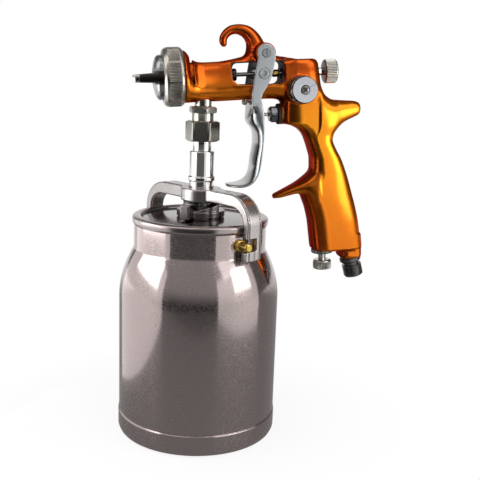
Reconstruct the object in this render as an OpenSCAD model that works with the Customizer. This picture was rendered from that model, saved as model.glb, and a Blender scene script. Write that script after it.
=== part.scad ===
// Siphon-feed HVLP spray gun: a cast gun with its trigger, valves and air cap, on a one-quart
// cup that a turning yoke and a cam lever clamp shut. Millimetres, +Z up. The origin is the
// middle of the cup's base. The nozzle points to -X, the handle lies to +X, and the fan knob
// and the needle window's near side face -Y.

/* [Cup] */
// Outer diameter of the cup's body
cup_d = 104; // [100:0.5:108]
// Height of the cup's mouth above its base
cup_h = 138.7; // [137.5:0.1:139.5]
// Thickness of the cup's wall
cup_wall = 1.6; // [1.2:0.1:2.4]
// Outer diameter of the cup's neck
neck_d = 85.4; // [82:0.1:88]
// Height where the neck meets the shoulder
neck_z = 123.4; // [120:0.1:126]
// Height where the shoulder starts to draw in
shoulder_z = 92; // [86:0.5:98]

/* [Lid and clamp] */
// Outer diameter of the lid's rolled rim
lid_d = 87.8; // [86:0.1:90]
// Height of the rim's crest above the cup's mouth
lid_rim_h = 5.5; // [4.5:0.1:6]
// Direction of the yoke's near arm, seen from above
yoke_turn = -56.1; // [-68:0.1:-50]
// Distance from the axis to the outer face of the yoke's arms
yoke_reach = 50; // [49:0.5:52]
// Height of the yoke's top face
yoke_top = 162; // [160:0.1:162.2]
// Width of the yoke's strap
yoke_w = 12; // [10:0.5:13]
// Direction of the cam lever's handle, seen from above
cam_turn = -124.6; // [-138:0.1:-118]
// Direction of the near cup pin, seen from above
pin_turn = -63.6; // [-65.6:0.1:-61.6]

/* [Gun] */
// Height of the spray axis above the base, over the cup's middle
axis_z = 232; // [231.5:0.5:238]
// How far the spray axis dips towards the nozzle
gun_tilt = 4; // [0:0.5:8]
// Radius of the casting's front flange
flange_r = 16.2; // [15.5:0.1:16.4]
// Half the width of the casting at the handle block
block_hw = 12.5; // [11.5:0.1:12.8]
// Half the width of the grip near its foot
grip_hw = 13.2; // [11.5:0.1:14]

/* [Trigger] */
// Half the distance between the outer faces of the trigger's plates
trigger_hw = 14.9; // [14.8:0.1:15.6]
// Thickness of the trigger's sheet
trigger_t = 1.5; // [1.2:0.1:1.6]

/* [Fittings] */
// Width across the flats of the swivel nut
swivel_af = 19; // [17:0.5:19.5]
// Radius of the air inlet's thread
inlet_r = 6.58; // [6.3:0.01:6.6]
// Diameter of the fan knob
fan_knob_d = 17; // [15:0.5:18]
// Diameter of the needle knob
needle_knob_d = 15.2; // [13:0.1:16]
// Diameter of the flow knob
flow_knob_d = 12; // [10:0.1:13]
// Radius of the needle
needle_r = 1.3; // [1.1:0.05:1.4]

/* [Hidden] */
$fn = 64;

// Running clearance of a shaft in its bore
run = 0.08;
// Gap between faces on different bodies
gap = 0.4;
// Overhang of a cutter past the face that it cuts
over = 1;

// Cup and lid
cup_r = cup_d / 2;
neck_r = neck_d / 2;
gasket_h = 1.5;
lid_under = cup_h + gasket_h;
rim_crest = cup_h + lid_rim_h;
lid_r = lid_d / 2;
rim_r = 3.2;
dome_edge = lid_under + 2;
dome_top = dome_edge + 1.2;
stem_r = 7.77;
stem_foot = cup_h - 6.7;
bead_z = [yoke_top + 4.3, yoke_top + 7.5];
sleeve_top = axis_z - 46.5;
nut_z = [axis_z - 40.5, axis_z - 27.6];
hex_z = [axis_z - 22.9, axis_z - 18.7];
pin_z = cup_h - 6.7;
pin_shank_r = 2.8;
pin_flange_r = 3.8;

// Gun frame: x runs along the spray axis towards the handle and z stands square to it
module on_gun() {
    translate([0, 0, axis_z]) rotate([0, -gun_tilt, 0]) children();
}
// A shaft or bore along the spray axis, at height h above it
module along(x0, x1, r, h = 0) {
    translate([x0, 0, h]) rotate([0, 90, 0]) cylinder(r = r, h = x1 - x0);
}
// A shaft or bore across the gun, at x and z of the gun frame
module across(x, z, y0, y1, r) {
    translate([x, y1, z]) rotate([90, 0, 0]) cylinder(r = r, h = y1 - y0);
}
// A hexagonal bar, af across its flats, standing on z0
module hex_bar(af, z0, z1) {
    translate([0, 0, z0]) cylinder(r = af / 2 / cos(30), h = z1 - z0, $fn = 6);
}
// A hexagonal nut whose corners are turned off to a cone at both ends
module hex_nut(af, z0, z1) {
    corner = af / 2 / cos(30);
    intersection() {
        hex_bar(af, z0, z1);
        rotate_extrude()
            polygon([
                [0, z0], [af / 2, z0], [corner, z0 + 0.9], [corner, z1 - 0.9], [af / 2, z1], [0, z1]
            ]);
    }
}
// A turned piece: its outline is a list of [radius, height], closed along the axis
module turned(outline) {
    rotate_extrude() polygon(outline);
}
// A turned piece whose axis is the spray axis: its outline is a list of [radius, x]
module turned_along(outline) {
    rotate([0, 90, 0]) turned(outline);
}
// A round knob with straight grooves cut along its rim
module knurled(r, z0, z1, grooves, groove_r) {
    difference() {
        turned([
            [0, z0], [r - 0.7, z0], [r, z0 + 0.7], [r, z1 - 0.7], [r - 0.7, z1], [0, z1]
        ]);
        for (i = [0 : grooves - 1])
            rotate([0, 0, i * 360 / grooves]) translate([r + groove_r * 0.45, 0, z0 - over])
                cylinder(r = groove_r, h = z1 - z0 + 2 * over, $fn = 16);
    }
}

// Lofts: rings of equal count, joined by triangles; the ends of a folded sheet's rings are closed by
// strips from the outer half of the ring to the inner half
function signed_pow(v, p) = sign(v) * pow(abs(v), p);
function smooth(v) = let (k = max(0, min(1, v))) k * k * (3 - 2 * k);
module loft(rings, folded = false) {
    n = len(rings[0]);
    m = len(rings);
    end = folded
        ? [for (i = [0 : n / 2 - 2]) each [[i, i + 1, n - 2 - i], [i, n - 2 - i, n - 1 - i]]]
        : [[for (i = [0 : n - 1]) i]];
    polyhedron(
        points = [for (r = rings) each r],
        faces = [
            each end,
            for (j = [0 : m - 2], i = [0 : n - 1])
                let (a = j * n + i, b = j * n + (i + 1) % n) each [[a, a + n, b + n], [a, b + n, b]],
            for (e = end) [for (k = [len(e) - 1 : -1 : 0]) (m - 1) * n + e[k]]
        ]
    );
}
// Ring square to the spray axis at x, between bottom and top, with a half width for the upper
// and one for the lower part, and a squareness of 2 for an ellipse and more for a box
function ring_x(x, bottom, top, upper, lower, square, n) = [
    for (i = [0 : n - 1])
        let (
            a = 360 * i / n,
            s = signed_pow(sin(a), 2 / square),
            c = signed_pow(cos(a), 2 / square),
            half = lower + (upper - lower) * smooth(s + 0.5)
        )
        [x, half * c, (top + bottom) / 2 + s * (top - bottom) / 2]
];
// Level ring at height z, between front and back, with one half width; lofts of it run downwards
function ring_z(z, front, back, half, square, n) = [
    for (i = [0 : n - 1])
        let (
            a = -360 * i / n,
            s = signed_pow(sin(a), 2 / square),
            c = signed_pow(cos(a), 2 / square)
        )
        [(front + back) / 2 + c * (back - front) / 2, s * half, z]
];

// ---- Cup ----
// Radius of the shoulder at height z, drawn in along a power curve
function shoulder_r(z) =
    cup_r - (cup_r - neck_r - 0.3) * pow((z - shoulder_z) / (neck_z - 0.5 - shoulder_z), 1.9);
shoulder = [for (i = [0 : 12]) shoulder_z + i * (neck_z - 0.5 - shoulder_z) / 12];
band_top = 14;
band_r = cup_r + 0.5;

module cup_body() {
    color("silver") difference() {
        turned(concat(
            [[0, 0]],
            [for (a = [0 : 15 : 90]) [band_r - 3 + 3 * sin(a), 3 - 3 * cos(a)]],
            [[band_r, band_top - 0.6], [cup_r, band_top]],
            [for (z = shoulder) [shoulder_r(z), z]],
            [[neck_r, neck_z], [neck_r, cup_h], [neck_r - cup_wall, cup_h], [neck_r - cup_wall, neck_z]],
            [for (i = [12 : -1 : 0]) [shoulder_r(shoulder[i]) - cup_wall, shoulder[i] - cup_wall / 2]],
            [[cup_r - cup_wall, 5], [cup_r - cup_wall - 3, 2], [0, 2]]
        ));
        for (side = [0, 180]) rotate([0, 0, pin_turn + side]) translate([neck_r - 5, 0, pin_z])
            rotate([0, 90, 0]) cylinder(r = 2.5, h = 10);
    }
}

// A shouldered pin on each side of the neck, riveted over inside
module cup_pins() {
    color("goldenrod") for (side = [0, 180]) rotate([0, 0, pin_turn + side])
        translate([0, 0, pin_z]) turned_along([
            [0, 39.5], [3.1, 39.5], [3.1, neck_r - cup_wall - 0.15], [2.5, neck_r - cup_wall - 0.15],
            [2.5, neck_r + 0.03], [pin_flange_r, neck_r + 0.03], [pin_flange_r, 44.4],
            [pin_flange_r - 0.6, 45], [pin_shank_r, 45], [pin_shank_r, 52.2],
            [pin_shank_r - 0.8, 53], [0, 53]
        ]);
}

// Lid with a rolled rim and a shallow dome
module lid() {
    flat_r = lid_r - 2 * rim_r;
    color("darkgray") turned(concat(
        [[stem_r + 0.03, lid_under], [neck_r + 0.1, lid_under], [neck_r + 0.1, cup_h + 0.2]],
        [[lid_r - 0.7, cup_h + 0.2], [lid_r, cup_h + 1.4], [lid_r, dome_edge + 0.3]],
        [for (a = [15 : 15 : 165])
            [lid_r - rim_r + rim_r * cos(a), dome_edge + 0.3 + (rim_crest - dome_edge - 0.3) * sin(a)]],
        [for (r = [flat_r : -flat_r / 6 : 8.5]) [r, dome_top - (dome_top - dome_edge) * pow(r / flat_r, 2)]],
        [[stem_r + 0.03, dome_top]]
    ));
}

module lid_gasket() {
    color("dimgray") turned([
        [36.5, cup_h], [neck_r - 0.1, cup_h], [neck_r - 0.1, lid_under], [36.5, lid_under]
    ]);
}

// Hub that turns on the stem, with two ramps under the yoke's strap and a short square handle
cam_z = [dome_top + gap, yoke_top - 8.6];
ramp_foot = cam_z[0] + 4;
ramp_turn = 75;
module cam_ramp() {
    loft([
        for (i = [0 : 10])
            let (a = yoke_turn + 9 - i * ramp_turn / 10, h = cam_z[1] - (cam_z[1] - ramp_foot) * i / 10)
            [for (p = [[9.2, ramp_foot - 1], [15.1, ramp_foot - 1], [15.1, h], [9.2, h]])
                [p[0] * cos(a), p[0] * sin(a), p[1]]]
    ]);
}
module cam_lever() {
    color("gray") difference() {
        union() {
            translate([0, 0, cam_z[0]]) cylinder(r = 15.5, h = ramp_foot - cam_z[0]);
            translate([0, 0, cam_z[0]]) cylinder(r = 9.9, h = cam_z[1] - cam_z[0]);
            cam_ramp();
            rotate([0, 0, 180]) cam_ramp();
            rotate([0, 0, cam_turn]) hull() {
                translate([9, -3.3, cam_z[0]]) cube([12.7, 6.6, cam_z[1] - cam_z[0]]);
                translate([9, -2.5, cam_z[0] + 0.8]) cube([13.5, 5, cam_z[1] - cam_z[0] - 1.6]);
            }
        }
        translate([0, 0, cam_z[0] - over]) cylinder(r = stem_r + run, h = 20);
    }
}

// Strap over the lid, with a slotted hook at each end and a bored boss in the middle
strap_t = 7.8;
arm_t = 4.5;
hook_z = [pin_z - 9.2, pin_z - 3.1, pin_z + 4.5];
module strap_outline() {
    outer_bend = 18;
    inner_bend = 11;
    inner_top = yoke_top - strap_t;
    arm_in = yoke_reach - arm_t;
    difference() {
        union() {
            translate([0, hook_z[0]]) square([yoke_reach - outer_bend, yoke_top - hook_z[0]]);
            translate([0, hook_z[0]]) square([yoke_reach, yoke_top - outer_bend - hook_z[0]]);
            translate([yoke_reach - outer_bend, yoke_top - outer_bend]) circle(r = outer_bend);
        }
        translate([-over, hook_z[0] - over])
            square([arm_in - inner_bend + over, inner_top - hook_z[0] + over]);
        translate([-over, hook_z[0] - over])
            square([arm_in + over, inner_top - inner_bend - hook_z[0] + over]);
        translate([arm_in - inner_bend, inner_top - inner_bend]) circle(r = inner_bend);
    }
}
module yoke_arm() {
    difference() {
        union() {
            translate([0, yoke_w / 2, 0]) rotate([90, 0, 0]) linear_extrude(yoke_w) strap_outline();
            // Jaw, which runs on past the strap towards the pin
            translate([yoke_reach - arm_t, -10.5, hook_z[0]])
                cube([arm_t, 10.5, hook_z[1] - hook_z[0]]);
        }
        translate([yoke_reach - arm_t - over, -11, hook_z[1]])
            cube([arm_t + 2 * over, 12.8, hook_z[2] - hook_z[1]]);
    }
}
module yoke() {
    color("lightgray") rotate([0, 0, yoke_turn]) difference() {
        union() {
            yoke_arm();
            rotate([0, 0, 180]) yoke_arm();
            translate([0, 0, yoke_top - 8.2]) cylinder(r = 13, h = 8.2);
            // Flares that carry the boss out into the strap
            for (side = [0, 180]) rotate([0, 0, side])
                translate([0, 0, yoke_top - strap_t + 0.3]) linear_extrude(strap_t - 0.6)
                    polygon([[6, -11], [12, -8.6], [20, -5.5], [20, 5.5], [12, 8.6], [6, 11]]);
        }
        translate([0, 0, yoke_top - 30]) cylinder(r = stem_r + run, h = 40);
    }
}

// ---- Material stem between the lid and the gun, on the cup's axis ----
stem_head = nut_z[0] + 3.2;
stem_end = nut_z[0] + 5.5;
seal_h = 1.4;
tube_top = stem_foot + 14;
module material_stem() {
    color("whitesmoke") difference() {
        turned([
            [0, stem_foot], [stem_r - 0.8, stem_foot], [stem_r, stem_foot + 0.8],
            [stem_r, bead_z[0]], [8.66, bead_z[0] + 0.5],
            [8.66, bead_z[1] - 0.5], [7.9, bead_z[1]], [7.9, sleeve_top - 0.6], [7.3, sleeve_top],
            [5.82, sleeve_top], [5.82, stem_head], [6.75, stem_head], [6.75, stem_end], [0, stem_end]
        ]);
        translate([0, 0, stem_foot - over]) cylinder(r = 4.5, h = tube_top - stem_foot + over);
        translate([0, 0, stem_foot - over]) cylinder(r = 3, h = 75);
    }
}
module stem_locknut() {
    color("gray") difference() {
        hex_nut(21, lid_under - 5.5, lid_under);
        translate([0, 0, stem_foot]) cylinder(r = stem_r + 0.03, h = 20);
    }
}
// Pick-up tube that reaches down into the cup, cut on a slant
module pickup_tube() {
    color("silver") difference() {
        translate([0, 0, 7]) cylinder(r = 4.5, h = tube_top - 7);
        translate([0, 0, 6]) cylinder(r = 3.3, h = tube_top);
        translate([0, 0, 7]) rotate([0, 35, 0]) translate([-20, -20, -20]) cube([40, 40, 20]);
    }
}
module stem_seal() {
    color("ivory") translate([0, 0, stem_end]) difference() {
        cylinder(r = 6.6, h = seal_h);
        translate([0, 0, -over]) cylinder(r = 3.2, h = 4);
    }
}
nut_face = -102.6;
module swivel_nut() {
    color("gainsboro") rotate([0, 0, nut_face + 30]) difference() {
        hex_nut(swivel_af, nut_z[0], nut_z[1]);
        translate([0, 0, nut_z[0] - over]) cylinder(r = 5.82 + run, h = 20);
        translate([0, 0, stem_head - 0.2]) cylinder(r = 6.82 + run, h = 12);
    }
}
module fluid_nipple() {
    color("lightgray") difference() {
        union() {
            translate([0, 0, stem_end + seal_h]) cylinder(r = 6.82, h = hex_z[0] - stem_end - 0.9);
            rotate([0, 0, nut_face + 18]) hex_nut(15.8, hex_z[0], hex_z[1]);
            translate([0, 0, hex_z[1] - 0.5]) cylinder(r = 5.44, h = 12);
        }
        translate([0, 0, stem_end]) cylinder(r = 3, h = 30);
    }
}

// ---- Casting ----
// Barrel: [x, bottom, top, upper half width, lower half width], along the spray axis
barrel = [
    [-12.9, -flange_r, flange_r, flange_r, flange_r], [-11.4, -16.15, 15.4, 15.2, 15.9],
    [-9.4, -16.05, 13.1, 12.8, 14.6], [-6.9, -16, 10.2, 9.8, 12.8], [-3.9, -16, 8.7, 7.9, 11.4],
    [0.1, -16, 8.3, 7, 10.6], [8, -16, 8.4, 6.8, 10.1], [16, -15.9, 9.3, 7.2, 10.2],
    [23.9, -15.8, 10.8, 8.4, 10.8], [31.8, -15.7, 12.2, 10, 11.6], [41.7, -15.8, 11.6, 11.8, 12.3],
    [48.6, -17, 10.4, 12.2, 12.5], [55.5, -20, 8.4, 11.8, 12.5]
];
// Handle block and grip: [z, front, back, half width], from the top down
grip = [
    [8.3, 52, 69.7, 9.4], [7.5, 50.5, 71.3, 10.9], [5.2, 49.7, 72.6, 12.1], [0, 49.4, 73.3, block_hw],
    [-8, 49.1, 74.3, block_hw], [-13.9, 49, 75.8, block_hw], [-18.4, 48.8, 80.1, block_hw],
    [-24.9, 48.5, 85.5, 12.4], [-30.5, 48.4, 86.9, 12.2], [-31.6, 49.5, 86.9, 12.1],
    [-33.2, 54.6, 86.5, 12], [-35.8, 59.5, 84.8, 11.9], [-39.8, 62.9, 82.5, 11.7],
    [-43.7, 64.5, 81.8, 11.6], [-48.7, 66, 83.6, 11.6], [-55.6, 67.5, 87.1, 11.8],
    [-63.6, 67.3, 90.1, 12.1], [-71.5, 63.7, 92.5, 12.5], [-79.5, 61.1, 94.6, 12.8],
    [-87.4, 63.4, 96.6, 13], [-97.4, 65.4, 98.6, grip_hw], [-107.3, 66.3, 99.8, grip_hw],
    [-115, 67.1, 100.5, grip_hw], [-116.3, 68.5, 99.5, grip_hw - 1.2]
];
// Tail over the hand: [x, bottom, top, half width]
tail = [
    [73.1, -41.7, -9.9, 12.2], [77, -40.7, -15.4, 12], [81, -38.5, -17.6, 11.4],
    [85.9, -34.7, -18.3, 10.2], [91.7, -31.7, -18.9, 8.8], [96.6, -29.7, -19.3, 7.9],
    [99.4, -28.3, -20.2, 6.9], [100.4, -26.5, -21.8, 5.2]
];
// Spur under the middle finger: [x, bottom, top, half width]
spur = [
    [41.6, -79.3, -78.1, 1.6], [42.3, -80.1, -77.2, 3], [45.5, -80, -75.8, 4.6],
    [51.4, -78.9, -73.2, 6.4], [57.3, -77.8, -70.5, 8.4], [61.3, -79, -68, 10],
    [65.2, -81.5, -65.1, 11.4], [70.1, -85.4, -61.6, 12]
];
// Hanging hook, from its tip to its root: [x, z, half depth, half width]
hook = [
    [13.8, 18.6, 1, 1.2], [13.3, 19.2, 2, 2.3], [13, 21, 2.4, 2.8], [13.5, 23, 2.5, 3.1],
    [15.1, 25.2, 2.6, 3.4], [18.1, 27.1, 2.8, 3.7], [21.6, 27.7, 3.1, 4.1], [25.4, 27.1, 3.6, 4.7],
    [29, 24.9, 4.2, 5.5], [31.9, 21.1, 4.9, 6.6], [33.3, 16.8, 5.8, 8], [33.7, 11, 7, 10]
];
pivot = [37.2, 12.4];
pivot_r = 2.45;
needle_pin = [35.2, 0.3];
air_valve_h = -25.6;
fan_at = [58.4, -10.3];
flow_at = [74.7, -116.3];
inlet_foot = [94.1, -123.2];
inlet_lean = 12;
plug_at = 25.2;

// Direction of the hook at point i
function hook_dir(i) = let (
    a = hook[max(0, i - 1)],
    b = hook[min(len(hook) - 1, i + 1)]
) atan2(b[1] - a[1], b[0] - a[0]);
module hook_bar() {
    n = 16;
    loft([
        for (i = [0 : len(hook) - 1])
            let (p = hook[i], d = hook_dir(i))
            [for (k = [0 : n - 1]) let (a = -360 * k / n) [
                p[0] - sin(d) * p[2] * cos(a), p[3] * sin(a), p[1] + cos(d) * p[2] * cos(a)
            ]]
    ]);
}
// The air inlet's own axis: x runs on down and out of the grip
module on_inlet() {
    translate([inlet_foot[0], 0, inlet_foot[1]]) rotate([0, 90 - inlet_lean, 0]) children();
}
// The air flow valve's own axis, from the underside of the grip
module on_flow() {
    translate([flow_at[0], 0, flow_at[1]]) children();
}
// The window's outline through the barrel, with rounded corners
module window_outline() {
    offset(r = 3.2) offset(delta = -3.2)
        polygon([[17.1, 6.9], [50, 7.3], [49.2, -5.6], [45.6, -6.6], [20.2, -6], [17.4, -3.6]]);
}
module casting() {
    n = 24;
    loft([for (b = barrel) ring_x(b[0], b[1], b[2], b[3], b[4], 2.15, n)]);
    loft([for (g = grip) ring_z(g[0], g[1], g[2], g[3], 2.9, n)]);
    loft([for (t = tail) ring_x(t[0], t[1], t[2], t[3], t[3], 2.7, n)]);
    loft([for (s = spur) ring_x(s[0], s[1], s[2], s[3], s[3], 2.4, n)]);
    hook_bar();
    // Pad that carries the air inlet
    loft([for (p = [[-107, 0.4], [-120.3, 0], [-122.2, 0.4], [-123, 1.8]])
        ring_z(p[0], 85.6 + p[1], 100.8 - p[1], 10.5 - p[1], 3, n)]);
}
module gun_body() {
    color("darkorange") difference() {
        on_gun() difference() {
            union() {
                resize([113.7, 0, 0]) casting();
                across(pivot[0], pivot[1], -12.9, 12.9, 6.4);
                along(-21.2, -12.5, 14.9);
                across(fan_at[0], fan_at[1], -13.6, -10, 8.8);
                along(45.9, 52, 6.6, air_valve_h);
            }
            translate([0, 20, 0]) rotate([90, 0, 0]) linear_extrude(40) window_outline();
            // Air chamber round the nozzle's hub
            difference() {
                along(-22, -7, 12.6);
                along(-18.5, -6, 8.5);
            }
            along(-22, 1, 5.95);
            along(0, 10, 2.6);
            along(9, 18, 3.6);
            // Air passage under the window
            translate([0, 0, -11.1]) along(-9, 59, 2.6);
            along(49, 76, 3.4);
            along(45, 56, 4.25, air_valve_h);
            along(55, 76, 3.8, air_valve_h);
            across(fan_at[0], fan_at[1], -14, -1, 4.45);
            across(pivot[0], pivot[1], -14, 14, pivot_r);
            on_flow() translate([0, 0, -2]) cylinder(r = 5.05, h = 11);
            on_flow() translate([0, 0, -2]) cylinder(r = 3.2, h = 52);
            on_inlet() along(-9, 3, 6.3);
            // Face of the pad, square to the inlet
            on_inlet() along(0.28, 5, 7.5);
            translate([inlet_foot[0], 0, inlet_foot[1]]) rotate([0, 75.5, 0]) along(-95, -5, 3);
            translate([plug_at, 0, -18]) cylinder(r = 1.5, h = 6);
        }
        translate([0, 0, hex_z[1] - 3]) cylinder(r = 5.46, h = 14.7);
        translate([0, 0, hex_z[1] - 3]) cylinder(r = 3, h = 21.7);
    }
}

// ---- Front end ----
module fluid_nozzle() {
    color("silver") on_gun() turned_along([
        [1, -34.2], [1.9, -34.2], [2, -31.5], [4.2, -27.5], [6.4, -25], [6.4, -20.9], [5.9, -20.9],
        [5.9, -1], [3, -1], [3, -27.5], [1, -32.6]
    ]);
}
module nozzle_gasket() {
    color("ivory") on_gun() turned_along([[6, -19], [8.4, -19], [8.4, -18.5], [6, -18.5]]);
}
module baffle() {
    color("silver") on_gun() difference() {
        turned_along([[5.95, -20.9], [12.55, -20.9], [12.55, -19], [5.95, -19]]);
        for (i = [0 : 11]) rotate([i * 30, 0, 0]) translate([0, 0, 10.6])
            along(-22, -18, 1);
    }
}
// One horn of the air cap: [x, inner face, outer face, half height]
horn = [
    [-25.5, 6.6, 13.5, 3.3], [-29, 7.2, 13.3, 3.1], [-39.7, 8.4, 12.7, 2.5], [-43, 8.7, 12.5, 2.4],
    [-44.1, 9.4, 11.9, 1.9]
];
module cap_horn() {
    loft([for (h = horn) [
        for (k = [0 : 15])
            let (
                a = -360 * k / 16,
                c = signed_pow(cos(a), 0.55),
                s = signed_pow(sin(a), 0.55)
            )
            [h[0], (h[1] + h[2]) / 2 + c * (h[2] - h[1]) / 2, s * h[3]]
    ]]);
}
module air_cap() {
    color("dimgray") on_gun() difference() {
        union() {
            turned_along([
                [2.7, -32.2], [4.5, -32], [9.4, -31], [12.4, -29.9], [13.4, -28.9], [13.7, -28],
                [13.7, -25.4], [14.1, -25], [14.1, -24], [14.7, -24], [14.7, -21.6], [12.4, -21.6],
                [12.4, -26], [10, -28.4], [2.7, -30.4]
            ]);
            cap_horn();
            mirror([0, 1, 0]) cap_horn();
        }
        for (side = [-1, 1]) {
            across(-41.7, 0, min(side * 7, side * 13), max(side * 7, side * 13), 0.75);
            for (a = [-24, 24]) rotate([a, 0, 0]) translate([0, side * 6, 0])
                along(-34, -29.5, 0.6);
        }
    }
}
module retaining_collar() {
    color("gray") on_gun() turned_along([
        [14.4, -25.75], [15.3, -26.1], [16.8, -25.5], [17.8, -24.3], [18.2, -22.8], [18.2, -15.4],
        [17.6, -14], [16.8, -13.2], [14.98, -13.2], [14.98, -24.3], [14.4, -24.3]
    ]);
}

// ---- Needle ----
module needle() {
    color("silver") on_gun() turned_along([
        [0, -34], [0.3, -34], [0.88, -32.6], [needle_r, -30.4], [needle_r, 51], [3.1, 51], [3.1, 52.3],
        [needle_r, 52.3], [needle_r, 62.4], [1, 63.1], [0, 63.1]
    ]);
}
module needle_collar() {
    color("goldenrod") on_gun() turned_along([
        [needle_r, 39], [2.35, 39], [2.35, 42.5], [1.95, 42.9], [1.95, 43.7], [2.35, 44.1],
        [2.35, 47.5], [1.9, 48], [needle_r, 48]
    ]);
}
module needle_packing() {
    color("white") on_gun() turned_along([
        [needle_r + run, 10], [3.55, 10], [3.55, 13], [needle_r + run, 13]
    ]);
}
module packing_nut() {
    color("dimgray") on_gun() difference() {
        turned_along([
            [needle_r + run, 13], [3.55, 13], [3.55, 18.2], [3.9, 18.2], [3.9, 20], [3.4, 20.4],
            [needle_r + run, 20.4]
        ]);
        for (a = [0, 90]) rotate([a, 0, 0]) translate([19.1, -5, -0.7]) cube([2, 10, 1.4]);
    }
}
module needle_spring() {
    color("darkgray") on_gun() turned_along([[1.9, 52.4], [3, 52.4], [3, 66.5], [1.9, 66.5]]);
}
module needle_knob() {
    color("silver") on_gun() {
        turned_along([
            [0, 66.9], [2.6, 66.9], [3.32, 67.6], [3.32, 73], [2.45, 73.2], [2.45, 77.5], [0, 77.5]
        ]);
        rotate([0, 90, 0]) knurled(needle_knob_d / 2, 77.3, 85.3, 28, 0.6);
    }
}

// ---- Trigger ----
// Outline of the flat upper part of a side plate
plate = [
    [32.4, 12], [30.9, 5], [29.6, -1], [28.4, -7], [27.4, -12.5], [27.4, -19.5], [34.1, -19.5],
    [33.4, -15.5], [34.2, -12], [37.2, -7.6], [39.9, -2.5], [42, 4.5], [43.1, 10], [42.7, 13.5]
];
// Finger part, from the plates down to the tip of the curl:
// [x, z of the middle of its face, direction of its depth, depth, half width, squareness]
sheet = [
    [27.5, -17.6, 0, 6.2, 14.85, 7], [27.2, -20.5, 0, 7, 14.85, 4.6], [26.5, -23.5, 0, 8.3, 14.8, 3.4],
    [25.9, -26.3, 0, 9.1, 14.7, 2.8], [25.8, -28.6, 0, 9.1, 14.6, 2.5], [26.6, -30.7, 0, 8.3, 14.6, 2.4],
    [28.2, -32.8, 0, 6.7, 14.5, 2.3], [29.6, -35.2, 0, 5.2, 14.5, 2.3], [30.2, -38.6, 0, 4.4, 14.5, 2.3],
    [30.2, -43, 0, 3.9, 14.5, 2.3], [29.4, -47.6, 0, 4.1, 14.5, 2.3], [28.4, -51.6, 0, 4.5, 14.5, 2.3],
    [27.6, -56, -3, 4.5, 14.5, 2.3], [27.1, -60, -12, 3.8, 14.5, 2.4], [26.3, -63.4, -27, 2.9, 14.5, 2.5],
    [25, -65.8, -48, 2.2, 14.4, 2.8], [23.1, -67.4, -68, 1.8, 14, 3.2], [20.4, -68.3, -80, 1.7, 13, 3.6],
    [17.2, -68.6, -88, 1.65, 11, 4], [14.2, -68.5, -92, 1.6, 8.2, 4], [12, -68.3, -94, 1.6, 5.4, 4],
    [11, -68.2, -94, 1.6, 2.8, 4]
];
// Ring of the finger part at station s: the outer face from side to side, then the inner one back
function sheet_ring(s, n = 8) = let (
    e = 2 / s[5],
    inner = max(0.01, s[3] - trigger_t),
    side = s[4] / 14.5 * (14.5 - trigger_t),
    arc = [for (i = [-n : n]) [signed_pow(sin(90 * i / n), e), 1 - pow(abs(cos(90 * i / n)), e)]],
    ring = concat(
        [for (a = arc) [a[0] * s[4], a[1] * s[3]]],
        [for (i = [2 * n : -1 : 0]) [arc[i][0] * side, trigger_t + arc[i][1] * inner]]
    )
) [for (q = ring) [s[0] + q[1] * cos(s[2]), q[0], s[1] + q[1] * sin(s[2])]];
module trigger() {
    color("lightsteelblue") on_gun() difference() {
        union() {
            for (y = [-trigger_hw, trigger_hw - trigger_t])
                translate([0, y + trigger_t, 0]) rotate([90, 0, 0]) linear_extrude(trigger_t) {
                    polygon(plate);
                    translate(pivot) circle(r = 5.6);
                }
            loft([for (s = sheet) sheet_ring(s)], true);
        }
        across(pivot[0], pivot[1], -20, 20, pivot_r + run);
        across(needle_pin[0], needle_pin[1], -20, 20, 3.4);
    }
}
module trigger_bush() {
    color("silver") on_gun() difference() {
        across(needle_pin[0], needle_pin[1], -trigger_hw - 0.3, trigger_hw + 0.3, 3.38);
        along(28, 42, 2.75, needle_pin[1]);
        for (y = [-trigger_hw - 1, trigger_hw + 0.05])
            across(needle_pin[0], needle_pin[1], y, y + 0.95, 1.6);
    }
}
module trigger_pivot() {
    color("silver") on_gun() difference() {
        across(pivot[0], pivot[1], -trigger_hw - 0.5, trigger_hw + 1.7, pivot_r);
        translate([pivot[0] - 0.4, -trigger_hw - 1, pivot[1] - 3]) cube([0.8, 1.2, 6]);
    }
}
// Clip on the far end of the pivot
module pivot_nut() {
    color("gray") on_gun() difference() {
        across(pivot[0], pivot[1], trigger_hw + 0.4, trigger_hw + 1.3, 4.2);
        across(pivot[0], pivot[1], 10, 20, pivot_r);
        translate([pivot[0] - 1.2, 10, pivot[1]]) cube([2.4, 10, 6]);
    }
}
module passage_plug() {
    color("silver") on_gun() translate([plug_at, 0, -17.2]) {
        cylinder(r = 1.5, h = 5);
        sphere(r = 1.9);
    }
}

// ---- Air valve behind the trigger ----
module air_valve_body() {
    color("dimgray") on_gun() difference() {
        union() {
            translate([0, 0, air_valve_h]) rotate([0, 90, 0]) rotate([0, 0, 30])
                hex_nut(10, 41.6, 45.8);
            along(40.6, 41.7, 4.4, air_valve_h);
            along(45.7, 55.8, 4.2, air_valve_h);
        }
        along(40, 57, 1.1 + run, air_valve_h);
    }
}
module air_valve_stem() {
    color("silver") on_gun() along(28, 57.2, 1.1, air_valve_h);
}
module air_valve_poppet() {
    color("white") on_gun() translate([0, 0, air_valve_h]) turned_along([
        [0, 57.2], [1.6, 57.2], [3.4, 58.2], [3.4, 59.6], [0, 59.6]
    ]);
}
module air_valve_spring() {
    color("darkgray") on_gun() translate([0, 0, air_valve_h])
        turned_along([[2, 59.7], [3.3, 59.7], [3.3, 75.9], [2, 75.9]]);
}

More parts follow.
